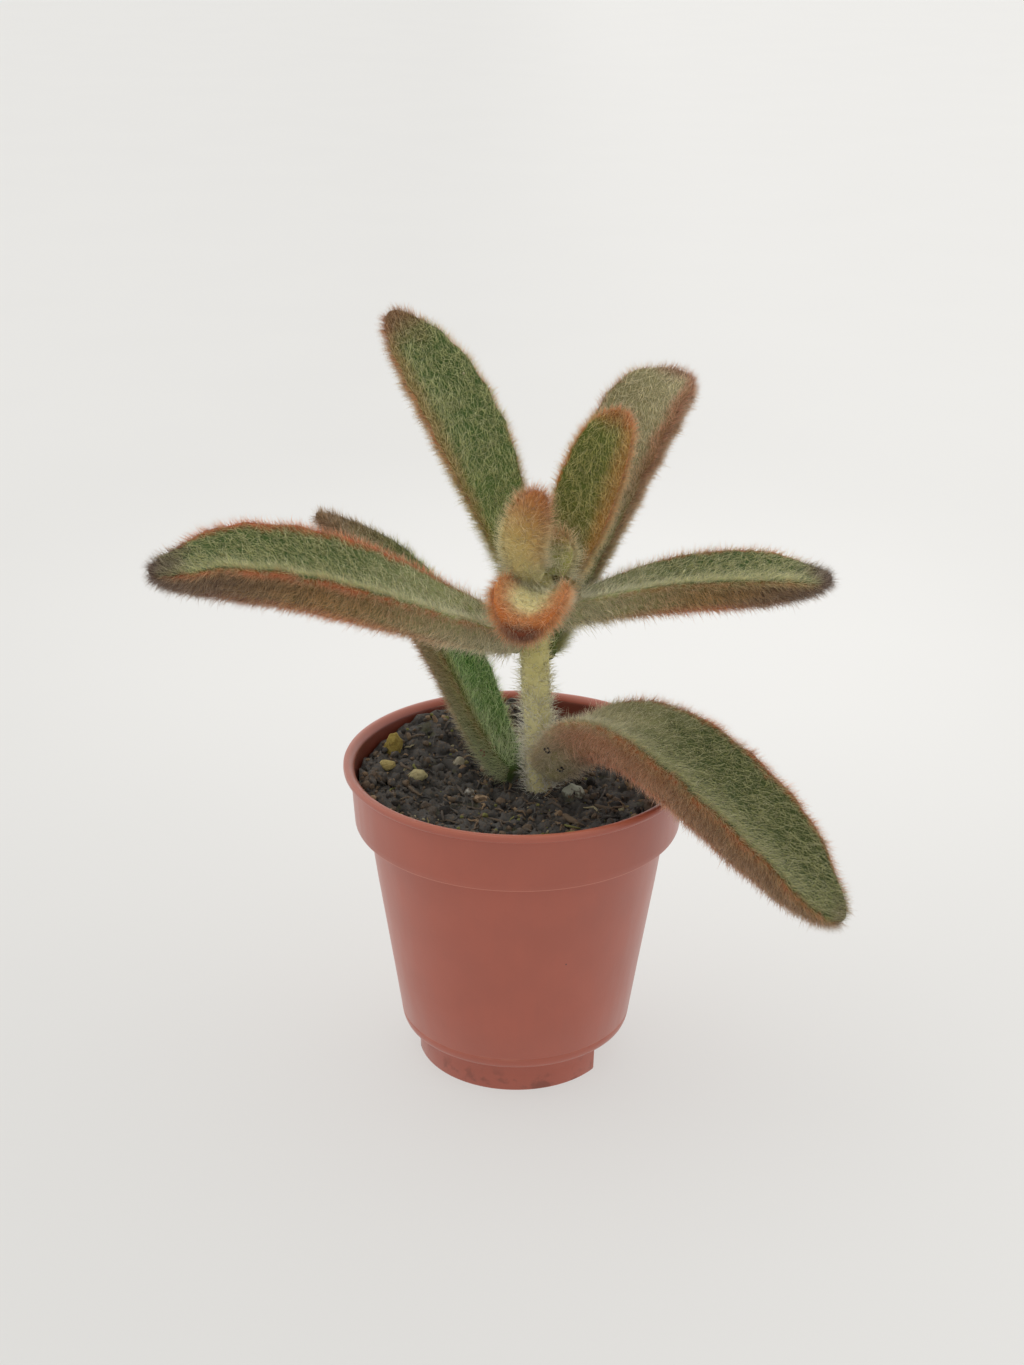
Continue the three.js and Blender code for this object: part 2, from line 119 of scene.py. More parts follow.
# Each leaf's spine passes through four points, at 0, 1/3, 2/3 and 1 of its length. face is
# the way that the upper side looks, near the stem and at the tip. width is the chord between
# the margins, depth the thickness below it, cup how far the margins stand above the middle,
# neck the width at the stem as a share of the whole, widest where along it the leaf is
# broadest, scallops how many notched waves its margins have. strips are how much of the
# upper side is rusty beside the right and the left margin, looking towards the tip, and how
# strongly; rims are how strong the rusty lines along those margins are. tip is where its dark
# end begins, how strong that is, and how strongly it runs back along the underside.
LEAVES = {
    "leaf_left": {
        "spine": [[0.5, -0.5, 72.5], [-16.5, -6, 80], [-34, -10.5, 86.5], [-54, -13.5, 87]],
        "face": [[0.1, -0.2, 1], [0.1, -0.15, 1]],
        "width": 15.4, "depth": 6.7, "cup": 2.8, "neck": 0.32, "widest": 0.57, "scallops": 4,
        "strips": ((0.3, 0.95), (0.08, 0.35)), "rims": (1, 0.75), "tip": (0.89, 1, 0.8),
        "kind": "grown",
    },
    "leaf_right": {
        "spine": [[4.5, 0.5, 76], [19.5, 3, 79], [32.5, 4.5, 80.2], [48.5, 6, 80]],
        "face": [[-0.1, 0.1, 1], [-0.05, -0.15, 1]],
        "width": 12.5, "depth": 5.3, "cup": 1.7, "neck": 0.34, "widest": 0.58, "scallops": 0,
        "strips": ((0.08, 0.2), (0.2, 0.75)), "rims": (0.3, 0.9), "tip": (0.88, 1, 0.85),
        "kind": "grown",
    },
    "leaf_back_left": {
        "spine": [[2.3, 2.6, 77], [-4.5, 11, 92.5], [-11, 20, 104], [-21, 28, 116]],
        "face": [[0.3, -0.8, 0.5], [0.35, -0.85, 0.45]],
        "width": 11.6, "depth": 4.4, "cup": 1.2, "neck": 0.38, "widest": 0.58, "scallops": 4,
        "strips": ((0.06, 0.4), (0.55, 0.3)), "rims": (0.9, 0.9), "tip": (0.84, 0.7, 0.4),
        "kind": "tall",
    },
    "leaf_back_right": {
        "spine": [[3.5, 2.8, 68.5], [8.6, 11, 81], [17, 18.5, 97.6], [25.6, 26, 107.2]],
        "face": [[-0.35, -0.8, 0.55], [-0.6, -0.7, 0.35]],
        "width": 13.4, "depth": 5.4, "cup": 2.4, "neck": 0.36, "widest": 0.65, "scallops": 4,
        "strips": ((0.5, 0.8), (0.14, 0.6)), "rims": (0.9, 1), "tip": (0.88, 0.8, 0.4),
        "kind": "rear",
    },
    "leaf_right_inner": {
        "spine": [[5.5, 1.6, 80], [8.5, 3.4, 88], [11.5, 5.6, 97], [15.5, 8.5, 105.5]],
        "face": [[-0.25, -0.9, 0.3], [-0.4, -0.9, 0.25]],
        "width": 9.4, "depth": 4, "cup": 1.3, "neck": 0.45, "widest": 0.56, "scallops": 0,
        "strips": ((0.85, 0.42), (0.1, 0.6)), "rims": (0.85, 0.95), "tip": (0.84, 0.7, 0.4),
        "kind": "young",
    },
    "leaf_front": {
        "spine": [[2.9, -1.6, 78.3], [2.3, -6.4, 80.6], [0.8, -11.2, 80.2], [0.2, -16, 78.7]],
        "face": [[0.05, 0.1, 1], [0.2, 0, 1]],
        "width": 10.4, "depth": 4.4, "cup": 2.4, "neck": 0.5, "widest": 0.5, "scallops": 0,
        "strips": ((0.7, 0.9), (0.75, 0.9)), "rims": (0.8, 0.9), "tip": (0.86, 0.9, 0.15),
        "kind": "bud",
    },
    "leaf_bud_front": {
        "spine": [[2.2, -1.2, 83], [0.4, -3, 87], [1.2, -3.6, 92], [3, -2.6, 96]],
        "face": [[0.25, 1, 0.15], [0.3, 1, -0.1]],
        "width": 6, "depth": 3.5, "cup": 0.7, "neck": 0.7, "widest": 0.46, "scallops": 0,
        "strips": ((0.05, 0), (0.9, 0.3)), "rims": (0, 0.2), "tip": (0.45, 0.95, 0.15),
        "kind": "fawn",
    },
    "leaf_bud_back": {
        "spine": [[4.6, -0.5, 82.4], [5, -0.2, 84.4], [5.4, -0.1, 86.4], [5.3, -0.3, 88.8]],
        "face": [[-0.25, -0.95, 0.25], [-0.3, -0.95, 0.2]],
        "width": 5.9, "depth": 2.4, "cup": 0.3, "neck": 0.75, "widest": 0.4, "scallops": 0,
        "strips": ((0.5, 0.4), (0.1, 0)), "rims": (0, 0), "tip": (0.6, 0.8, 0.1),
        "kind": "pale",
    },
    "leaf_low_back": {
        "spine": [[0.1, 0.8, 49.3], [-6.4, 8, 57.2], [-15, 17, 70.5], [-33.2, 25, 83.5]],
        "face": [[0.7, -0.55, 0.4], [0.5, -0.1, 0.85]],
        "width": 10.2, "depth": 5.6, "cup": 1.3, "neck": 0.42, "widest": 0.6, "scallops": 0,
        "strips": ((0.08, 0.4), (0.5, 0.3)), "rims": (0.6, 0.6), "tip": (0.6, 0.95, 0.3),
        "kind": "green",
    },
    "leaf_low_front": {
        "spine": [[4.9, -0.6, 50.6], [15.7, -9.5, 60.7], [30.4, -20.5, 54.8],
                  [48.4, -28.5, 39]],
        "face": [[-0.1, 0.2, 1], [0.4, -0.4, 0.85]],
        "width": 17, "depth": 7.2, "cup": 2.7, "neck": 0.4, "widest": 0.6, "scallops": 4,
        "strips": ((0.1, 0.35), (0.2, 0.85)), "rims": (0.5, 1), "tip": (0.95, 0.5, 0.35),
        "kind": "low",
    },
}
UPPER_SHARE = 0.3  # share of a leaf's depth that lies above its margins' edges
DROP = 0.14  # how far the skin is let down in the middle, as a share of the depth
SQUARENESS = 2.4  # 2 gives an oval section, more gives thicker margins
SCALLOP = {"from": 0.5, "to": 0.97, "height": 0.03}
CUP_FADE = 0.18  # the last share of the length, over which the cup dies away
LONGER_FUR = {"pale": 1.7, "fawn": 1.2, "bud": 1.2}  # the woolly kinds, and how much longer
HAIR_SUNK = 0.12  # how deep a hair's root lies in the skin


def srgb(red, green, blue):
    """A colour picked on screen, 0 to 255, as linear light."""
    return tuple(
        (c / 12.92 if c <= 0.04045 else ((c + 0.055) / 1.055) ** 2.4)
        for c in (red / 255, green / 255, blue / 255)
    )


# The colours of a leaf's flesh and of its fur: near the stem, on the upper side, on the
# underside, along the margins and at the tip.
PALETTES = {
    "grown": {
        "flesh": [(176, 180, 124), (70, 92, 40), (100, 80, 32), (190, 98, 56), (60, 28, 26)],
        "fur": [(254, 254, 216), (214, 216, 146), (232, 176, 98), (255, 158, 106), (92, 46, 40)],
    },
    "tall": {
        "flesh": [(96, 118, 52), (68, 92, 38), (100, 78, 36), (176, 104, 56), (120, 62, 40)],
        "fur": [(202, 212, 126), (206, 212, 138), (222, 182, 110), (255, 168, 110), (196, 112, 80)],
    },
    "rear": {
        "flesh": [(100, 124, 60), (140, 134, 92), (116, 90, 50), (132, 84, 48), (122, 70, 46)],
        "fur": [(200, 216, 136), (244, 234, 186), (214, 168, 112), (220, 140, 94), (190, 110, 78)],
    },
    "green": {
        "flesh": [(82, 110, 52), (62, 110, 38), (92, 86, 42), (136, 88, 50), (98, 74, 44)],
        "fur": [(204, 230, 168), (184, 230, 136), (190, 162, 106), (220, 152, 104), (176, 128, 88)],
    },
    "low": {
        "flesh": [(214, 206, 150), (66, 78, 33), (84, 68, 33), (184, 98, 56), (84, 62, 40)],
        "fur": [(255, 250, 218), (172, 176, 102), (186, 140, 86), (248, 150, 100), (150, 126, 92)],
    },
    "young": {
        "flesh": [(138, 132, 66), (90, 100, 36), (128, 98, 44), (200, 112, 48), (178, 88, 38)],
        "fur": [(236, 224, 150), (210, 204, 108), (224, 178, 106), (255, 164, 84), (244, 134, 66)],
    },
    "bud": {
        "flesh": [(255, 248, 190), (255, 242, 180), (188, 112, 54), (206, 122, 56), (112, 54, 34)],
        "fur": [(255, 254, 214), (255, 252, 206), (240, 158, 80), (255, 172, 88), (140, 70, 44)],
    },
    "fawn": {
        "flesh": [(226, 224, 166), (208, 180, 112), (208, 180, 112), (196, 136, 72), (170, 98, 40)],
        "fur": [(255, 254, 216), (255, 238, 170), (255, 238, 170), (246, 180, 98), (222, 132, 54)],
    },
    "pale": {
        "flesh": [(196, 198, 128), (188, 188, 114), (180, 168, 104), (188, 180, 108), (160, 116, 62)],
        "fur": [(255, 254, 220), (255, 252, 204), (250, 236, 176), (255, 240, 176), (232, 170, 100)],
    },
}


# ---- numbers and curves ----------------------------------------------------------------


def smoothstep(value, low, high):
    share = np.clip((value - low) / (high - low), 0, 1)
    return share * share * (3 - 2 * share)


def unit(vectors):
    return vectors / np.linalg.norm(vectors, axis=-1, keepdims=True)


def ripple(points, wavelength, seed, waves=14):
    """A smooth, seeded unevenness at each point, mostly within -1 to 1."""
    rng = np.random.default_rng(seed)
    ways = unit(rng.normal(size=(waves, 3))) * rng.uniform(0.7, 1.4, (waves, 1))
    phases = rng.uniform(0, 2 * np.pi, waves)
    return np.sin(points @ ways.T * (2 * np.pi / wavelength) + phases).sum(-1) / waves**0.5


def spine_at(spine, t):
    """Points of the cubic through four points at 0, 1/3, 2/3 and 1, and its directions."""
    spine = np.asarray(spine, float)
    a, b, c = t - 1 / 3, t - 2 / 3, t - 1
    weights = np.stack([-4.5 * a * b * c, 13.5 * t * b * c, -13.5 * t * a * c, 4.5 * t * a * b])
    slopes = np.stack([
        -4.5 * (a * b + b * c + a * c), 13.5 * (b * c + t * c + t * b),
        -13.5 * (a * c + t * c + t * a), 4.5 * (a * b + t * b + t * a),
    ])
    return weights.T @ spine, unit(slopes.T @ spine)


def seeded_random(seed):
    """Repeatable draws from 0 to 1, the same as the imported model's source makes."""
    whole, state = 0xFFFFFFFF, seed
    while True:
        state = (state + 0x6D2B79F5) & whole
        mixed = ((state ^ (state >> 15)) * (state | 1)) & whole
        mixed ^= (mixed + (((mixed ^ (mixed >> 7)) * (mixed | 61)) & whole)) & whole
        yield (mixed ^ (mixed >> 14)) / 4294967296


# ---- meshes ----------------------------------------------------------------------------


def mesh_object(name, points, faces, uv=None, **attributes):
    """An object from points in millimetres, faces as arrays of vertex numbers, the places of
    their corners on the bake's map, and float attributes of the points."""
    mesh = bpy.data.meshes.new(name)
    loops = np.concatenate([rows.ravel() for rows in faces]).astype(np.int32)
    sizes = np.concatenate([np.full(len(rows), rows.shape[1]) for rows in faces])
    mesh.vertices.add(len(points))
    mesh.vertices.foreach_set("co", ((points + AXIS) * MM).astype(np.float32).ravel())
    mesh.loops.add(len(loops))
    mesh.loops.foreach_set("vertex_index", loops)
    mesh.polygons.add(len(sizes))
    mesh.polygons.foreach_set("loop_start", (np.cumsum(sizes) - sizes).astype(np.int32))
    mesh.polygons.foreach_set("use_smooth", np.ones(len(sizes), bool))
    if uv is not None:
        mesh.uv_layers.new(name=BAKE_MAP).data.foreach_set("uv", uv.astype(np.float32).ravel())
    for key, values in attributes.items():
        mesh.attributes.new(key, "FLOAT", "POINT").data.foreach_set(
            "value", np.asarray(values, np.float32)
        )
    mesh.update(calc_edges=True)
    obj = bpy.data.objects.new(name, mesh)
    bpy.context.scene.collection.objects.link(obj)
    return obj


def settle(obj, slot, material, *nodes):
    """Gives a finished piece its material and its body, and hides the CAD nodes that it stands for.
    """
    if not obj.data.polygons:
        raise RuntimeError(f"{obj.name} has no faces")
    obj.data.materials.clear()
    obj.data.materials.append(material)
    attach(obj, "root")
    if nodes:
        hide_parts(*nodes)


def begin_mesh():
    """Clears the selection, so that the next operator adds to nothing else."""
    if bpy.context.object and bpy.context.object.mode != "OBJECT":
        bpy.ops.object.mode_set(mode="OBJECT")
    bpy.ops.object.select_all(action="DESELECT")


def grid_faces(rings, sides):
    """Quads between neighbouring rings of points, each ring closed on itself, with the
    places of their corners on the map: one band of it for each ring."""
    i, j = np.meshgrid(np.arange(rings - 1), np.arange(sides), indexing="ij")
    i, j = i.ravel(), j.ravel()
    k = (j + 1) % sides
    quads = np.stack([i * sides + j, i * sides + k, (i + 1) * sides + k, (i + 1) * sides + j], 1)
    left, right = j / sides, (j + 1) / sides
    low, high = (i + 1) / (rings + 1), (i + 2) / (rings + 1)
    uv = np.stack([left, low, right, low, right, high, left, high], 1).reshape(-1, 2)
    return quads, uv


def closed_skin(name, grid, first, last, attributes, poles):
    """An object over rings of points, closed by a point at each end."""
    rings, sides = grid.shape[:2]
    quads, uv = grid_faces(rings, sides)
    j = np.arange(sides)
    k, start, end = (j + 1) % sides, rings * sides, rings * sides + 1
    base = np.stack([np.full(sides, start), k, j], 1)
    top = (rings - 1) * sides
    tip = np.stack([top + j, top + k, np.full(sides, end)], 1)
    step = 1 / (rings + 1)
    left, right, middle = j / sides, (j + 1) / sides, (j + 0.5) / sides
    none, one = np.zeros(sides), np.ones(sides)
    base_uv = np.stack([middle, none, right, none + step, left, none + step], 1)
    tip_uv = np.stack([left, one - step, right, one - step, middle, one], 1)
    points = np.concatenate([grid.reshape(-1, 3), [first, last]])
    values = {key: np.concatenate([v.ravel(), poles[key]]) for key, v in attributes.items()}
    every_uv = np.concatenate([uv, base_uv.reshape(-1, 2), tip_uv.reshape(-1, 2)])
    return mesh_object(name, points, [quads, base, tip], every_uv, **values)


# ---- materials -------------------------------------------------------------------------


class Value:
    """A socket of a node tree. Arithmetic on it adds the nodes that work it out."""

    def __init__(self, shader, socket):
        self.shader, self.socket = shader, socket

    def _maths(self, operation, first, second):
        inputs = {0: first, 1: second}
        return self.shader.add("ShaderNodeMath", inputs, operation=operation)

    def __add__(self, other):
        return self._maths("ADD", self, other)

    def __radd__(self, other):
        return self._maths("ADD", other, self)

    def __sub__(self, other):
        return self._maths("SUBTRACT", self, other)

    def __rsub__(self, other):
        return self._maths("SUBTRACT", other, self)

    def __mul__(self, other):
        return self._maths("MULTIPLY", self, other)

    def __rmul__(self, other):
        return self._maths("MULTIPLY", other, self)

    def __truediv__(self, other):
        return self._maths("DIVIDE", self, other)

    def __rtruediv__(self, other):
        return self._maths("DIVIDE", other, self)

    def __pow__(self, other):
        return self._maths("POWER", self, other)

    def __gt__(self, other):
        return self._maths("GREATER_THAN", self, other)

    def __abs__(self):
        return self.shader.add("ShaderNodeMath", {0: self}, operation="ABSOLUTE")

    def step(self, low, high):
        """0 where this is at low, 1 where it is at high, and smooth between them."""
        return self.shader.add(
            "ShaderNodeMapRange", {0: self, 1: low, 2: high}, interpolation_type="SMOOTHSTEP"
        )


class Shader:
    """A material being made."""

    def __init__(self, name):
        self.material = bpy.data.materials.new(name)
        self.material.use_nodes = True
        self.tree = self.material.node_tree
        self.surface = self.tree.nodes["Principled BSDF"]

    def add(self, kind, inputs=None, output=0, **settings):
        """Makes a node with those settings and inputs, and returns one of its outputs."""
        node = self.tree.nodes.new(kind)
        for name, value in settings.items():
            setattr(node, name, value)
        for key, value in (inputs or {}).items():
            self.feed(node.inputs[key], value)
        return Value(self, node.outputs[output])

    def feed(self, socket, value):
        if isinstance(value, Value):
            self.tree.links.new(value.socket, socket)
        elif socket.type == "RGBA":
            socket.default_value = (*value, 1)
        else:
            socket.default_value = value

    def place(self):
        return self.add("ShaderNodeTexCoord", output="Object")

    def attribute(self, name):
        return self.add("ShaderNodeAttribute", output="Fac", attribute_name=name)

    def noise(self, size, detail=2.0, vector=None):
        """Soft noise from 0 to 1 whose patches are about that many millimetres wide."""
        inputs = {"Vector": vector or self.place(), "Scale": 1 / (size * MM), "Detail": detail}
        return self.add("ShaderNodeTexNoise", inputs)

    def mix(self, share, first, second, blend="MIX"):
        inputs = {0: share, 6: first, 7: second}
        settings = {"data_type": "RGBA", "blend_type": blend}
        return self.add("ShaderNodeMix", inputs, output=2, **settings)

    def bump(self, height, depth, strength=1.0):
        """A normal that makes the surface rise with height, by up to depth millimetres."""
        inputs = {"Height": height, "Distance": depth * MM, "Strength": strength}
        return self.add("ShaderNodeBump", inputs, output="Normal")

    def finish(self, **inputs):
        for name, value in inputs.items():
            self.feed(self.surface.inputs[name.replace("_", " ")], value)
        return self.material


class Sky(Shader):
    """The light all round, being made."""

    def __init__(self, name):
        self.material = bpy.data.worlds.new(name)
        self.material.use_nodes = True
        self.tree = self.material.node_tree
        self.surface = self.tree.nodes["Background"]


# ---- settings --------------------------------------------------------------------------


def colour(name, description, *screen):
    return FloatVectorProperty(
        name=name, description=description, subtype="COLOR", size=3, min=0, max=1,
        default=srgb(*screen),
    )


class PotSettings(bpy.types.PropertyGroup):
    sides: IntProperty(name="Sides", description="Corners round the pot", default=160, min=24)
    plastic: colour("Plastic", "Terracotta colour of the pot", 174, 86, 64)
    # Colour of the highlight painted on the lip, and of the pale mould lines.
    lip_highlight_and_lines: colour("Lip_highlight_and_lines", "Colour of its thin, lightened edges", 206, 126, 100)
    # Colour of the darker patches low on its foot.
    foot_darkening: colour("Foot_darkening", "Colour of the soil smeared on its foot", 88, 52, 40)
    roughness: FloatProperty(
        name="Roughness", description="How dull the plastic is", default=0.42, min=0, max=1
    )


class SoilSettings(bpy.types.PropertyGroup):
    rings: IntProperty(name="Rings", description="Rings of its surface", default=74, min=8)
    sectors: IntProperty(name="Sectors", description="Sectors of it", default=180, min=12)
    crumbs: IntProperty(name="Crumbs", description="Large crumbs on it", default=300, min=0)
    grit: IntProperty(name="Grit", description="Small crumbs on it", default=1700, min=0)
    fibres: IntProperty(name="Fibres", description="Loose fibres on it", default=150, min=0)
    crumb_size: FloatProperty(
        name="Crumb size", description="Half the width of a large crumb, in mm", default=0.95
    )
    earth: colour("Earth", "Colour of the wet compost", 108, 106, 102)
    bark: colour("Bark", "Colour of its paler fibres and chips", 164, 138, 108)
    moss: colour("Moss", "Colour of its green bits", 132, 136, 76)


class LeafSettings(bpy.types.PropertyGroup):
    rings: IntProperty(name="Rings", description="Rings along a leaf", default=64, min=8)
    sides: IntProperty(name="Sides", description="Points round a leaf", default=48, min=8)
    relief: FloatProperty(
        name="Relief", description="Unevenness of its skin, in mm", default=0.09, min=0
    )


class FurSettings(bpy.types.PropertyGroup):
    density: FloatProperty(
        name="Density", description="Hairs on a square millimetre", default=12.2, min=0
    )
    length: FloatProperty(
        name="Length", description="Length of the hairs on a face, in mm", default=1.55, min=0
    )
    fringe: FloatProperty(
        name="Fringe", description="How much longer they are at the margins", default=1.15
    )
    thickness: FloatProperty(
        name="Thickness", description="Width of a hair at its root, in mm", default=0.086
    )
    stem_length: FloatProperty(
        name="Stem length", description="Length of the hairs on the stem, in mm", default=2.6
    )


class StageSettings(bpy.types.PropertyGroup):
    floor: colour("Floor", "Colour of the floor", 241, 240, 237)
    glow: FloatProperty(
        name="Glow", description="Light that comes up through the floor", default=0.58
    )
    sky: colour("Sky", "Colour of the soft light all round", 255, 254, 252)
    sky_strength: FloatProperty(name="Sky strength", description="Its strength", default=1.0)
    dimness: FloatProperty(
        name="Dimness", description="How much dimmer it is from the front", default=0.48
    )
    lamp_power: FloatProperty(
        name="Lamp power", description="Power of the large soft lamp", default=1, unit="POWER"
    )


class PlantSettings(bpy.types.PropertyGroup):
    pot: PointerProperty(type=PotSettings)
    soil: PointerProperty(type=SoilSettings)
    leaves: PointerProperty(type=LeafSettings)
    fur: PointerProperty(type=FurSettings)
    stage: PointerProperty(type=StageSettings)


# ---- pot -------------------------------------------------------------------------------


def pot_shell(sides):
    """The pot, turned ring by ring out of a disc."""
    begin_mesh()
    radius, height = POT_SECTION[0]
    middle = Vector((AXIS[0] * MM, AXIS[1] * MM, height * MM))
    bpy.ops.mesh.primitive_circle_add(
        vertices=sides, radius=radius * MM, fill_type="TRIFAN", location=middle
    )
    pot = bpy.context.object
    bpy.ops.object.transform_apply(location=True, rotation=True, scale=True)
    bpy.ops.object.mode_set(mode="EDIT")
    bpy.ops.mesh.select_mode(type="EDGE")
    bpy.ops.mesh.select_all(action="DESELECT")
    bpy.ops.mesh.select_non_manifold()
    for new_radius, new_height in POT_SECTION[1:]:
        bpy.ops.mesh.extrude_edges_move(
            TRANSFORM_OT_translate={"value": (0, 0, (new_height - height) * MM)}
        )
        middle.z = new_height * MM
        share = new_radius / radius
        bpy.ops.transform.resize(value=(share, share, 1), center_override=middle)
        radius, height = new_radius, new_height
    bpy.ops.mesh.extrude_edges_move()
    bpy.ops.mesh.merge(type="CENTER")
    bpy.ops.mesh.select_all(action="SELECT")
    bpy.ops.mesh.remove_doubles(threshold=1e-6)
    bpy.ops.mesh.normals_make_consistent(inside=False)
    bpy.ops.object.mode_set(mode="OBJECT")
    return pot


def cut(obj, cutter):
    """Takes the cutter's shape out of obj and removes the cutter."""
    begin_mesh()
    bpy.context.view_layer.objects.active = obj
    obj.select_set(True)
    modifier = obj.modifiers.new("cut", "BOOLEAN")
    modifier.object, modifier.operation, modifier.solver = cutter, "DIFFERENCE", "EXACT"
    bpy.ops.object.modifier_apply(modifier=modifier.name)
    bpy.data.objects.remove(cutter)


def cut_foot_gaps(pot):
    radius, height = FOOT_GAP["radius"], FOOT_GAP["height"]
    for bearing in FOOT_GAP["bearings"]:
        turn = math.radians(bearing)
        middle = AXIS + radius * np.array((math.sin(turn), -math.cos(turn), 0))
        begin_mesh()
        bpy.ops.mesh.primitive_cube_add(
            size=1, location=middle * MM, rotation=(0, 0, turn),
            scale=(FOOT_GAP["width"] * MM, radius * MM, 2 * height * MM),
        )
        bpy.ops.object.transform_apply(location=True, rotation=True, scale=True)
        cut(pot, bpy.context.object)


def cut_drain_holes(pot):
    for i in range(DRAIN_HOLE["count"]):
        turn = 2 * math.pi * (i + 0.5) / DRAIN_HOLE["count"]
        middle = AXIS + DRAIN_HOLE["ring"] * np.array((math.cos(turn), math.sin(turn), 0))
        begin_mesh()
        bpy.ops.mesh.primitive_cylinder_add(
            vertices=32, radius=DRAIN_HOLE["radius"] * MM, depth=DRAIN_HOLE["depth"] * MM,
            location=(middle[0] * MM, middle[1] * MM, DRAIN_HOLE["height"] * MM),
        )
        bpy.ops.object.transform_apply(location=True, rotation=True, scale=True)
        cut(pot, bpy.context.object)


def plastic(settings):
    """Satin terracotta plastic with pale mould lines, a highlight painted on its lip, shade painted
    on its inner wall, specks, and darker patches low on its foot.
    """
    shader = Shader("pot_plastic")
    place = shader.place()
    split = {"Vector": place}
    height = shader.add("ShaderNodeSeparateXYZ", split, output="Z") / MM
    x = shader.add("ShaderNodeSeparateXYZ", split, output="X") / MM - float(AXIS[0])
    y = shader.add("ShaderNodeSeparateXYZ", split, output="Y") / MM - float(AXIS[1])
    radius = (x * x + y * y) ** 0.5
    stretched = shader.add(
        "ShaderNodeMapping", {"Vector": place, "Scale": (1, 1, 0.12)}, vector_type="POINT"
    )
    cloud = shader.noise(9, 4)
    streaks = shader.noise(1.6, 3, stretched)
    base = shader.mix(
        (cloud * 0.75 + streaks * 0.25).step(0.3, 0.72),
        tuple(c * 0.95 for c in settings.plastic), tuple(c * 1.05 for c in settings.plastic),
    )
    # The mould's parting lines are drawn pale, and the top of the lip is painted paler as a
    # highlight.
    parting = (1 - abs(height - POT_MARKS["parting"]).step(0.08, 0.26)) * 0.6
    lip = height.step(50.7, 51.35) * 0.35
    seam = (1 - abs(height - POT_MARKS["seam"]).step(0.1, 0.4)) * 0.25
    seam = seam * shader.noise(5).step(0.35, 0.6)
    base = shader.mix(parting + lip + seam, base, settings.lip_highlight_and_lines)
    # Painted shade: the inner wall above the soil is darkened.
    inside = (1 - radius.step(25.74, 25.8)) * (height > 43)
    base = shader.mix(inside, base, tuple(c * 0.55 for c in settings.plastic))
    # The foot is darker and duller in patches, most of all towards the bottom.
    foot_patches = shader.noise(2.2, 5)
    foot = (1 - height.step(0.6, 5.5)) * foot_patches.step(0.5, 0.66)
    base = shader.mix(foot * 0.45, base, settings.foot_darkening)
    cells = shader.add(
        "ShaderNodeTexVoronoi", {"Vector": place, "Scale": 1 / (5.5 * MM)}, output="Distance"
    )
    tints = shader.add(
        "ShaderNodeTexVoronoi", {"Vector": place, "Scale": 1 / (5.5 * MM)}, output="Color"
    )
    tint = shader.add("ShaderNodeSeparateColor", {"Color": tints}, output="Red")
    speck = (1 - cells.step(0.018, 0.032)) * (tint > 0.55)
    shade = shader.mix(tint > 0.8, (0.62, 0.5, 0.42), (0.03, 0.02, 0.02))
    base = shader.mix(speck * 0.8, base, shade)
    grain = shader.noise(0.35, 3)
    waves = shader.noise(7, 1)
    return shader.finish(
        Base_Color=base,
        Roughness=settings.roughness + (streaks - 0.5) * 0.22 + foot * 0.2,
        Specular_IOR_Level=0.5,
        Coat_Weight=0.5,
        Coat_Roughness=0.3,
        Normal=shader.bump(grain * 0.25 + waves, 0.12, 0.55),
    )


class MakePot(bpy.types.Operator):
    """Turns the nursery pot and cuts the gaps in its foot and its drain holes"""

    bl_idname = "plant.make_pot"
    bl_label = "Make pot"

    def execute(self, context):
        settings = context.scene.panda_plant.pot
        pot = pot_shell(settings.sides)
        cut_foot_gaps(pot)
        cut_drain_holes(pot)
        begin_mesh()
        context.view_layer.objects.active = pot
        pot.select_set(True)
        bpy.ops.object.shade_smooth_by_angle(angle=math.radians(40))
        pot.name = "nursery_pot"
        settle(pot, "pot_plastic", plastic(settings), "pot")
        return {"FINISHED"}


# ---- soil ------------------------------------------------------------------------------


def soil_lumps():
    """The mounds and lumps of the soil's surface as rows of x, y, height and spread."""
    draw = seeded_random(SOIL["seed"])
    lumps = list(SOIL["mounds"])
    wall = np.interp(SOIL["middle"], *zip(*INNER_WALL))
    for _ in range(SOIL["lumps"]):
        radius = wall * math.sqrt(0.12 + 0.88 * next(draw))
        angle = 2 * math.pi * next(draw)
        height = SOIL["crumb"] * (0.3 + 1.4 * next(draw)) * (-1 if next(draw) < 0.35 else 1)
        spread = 1.4 + 1.8 * next(draw)
        lumps.append((radius * math.cos(angle), radius * math.sin(angle), height, spread))
    return np.array(lumps)


def soil_height(x, y, lumps=soil_lumps()):
    """How high the soil stands at x and y, before its fine roughness."""
    x, y = np.asarray(x, float), np.asarray(y, float)
    share = np.hypot(x, y) / np.interp(SOIL["middle"], *zip(*INNER_WALL))
    away = (x[..., None] - lumps[:, 0]) ** 2 + (y[..., None] - lumps[:, 1]) ** 2
    heaped = (lumps[:, 2] * np.exp(-away / lumps[:, 3] ** 2)).sum(-1)
    return SOIL["middle"] + SOIL["rise"] * share**3 + heaped


def rough_height(x, y):
    """How high the soil stands, with its crumbs and pits."""
    flat = np.stack([x, y, np.zeros_like(x)], -1)
    coarse = ripple(flat, 3.1, SEEDS["coarse"])
    middling = ripple(flat, 1.5, SEEDS["middling"])
    fine = ripple(flat, 0.75, SEEDS["fine"])
    rough = 0.34 * coarse + 0.3 * np.abs(middling) + 0.16 * np.abs(fine) - 0.35
    return soil_height(x, y) + rough


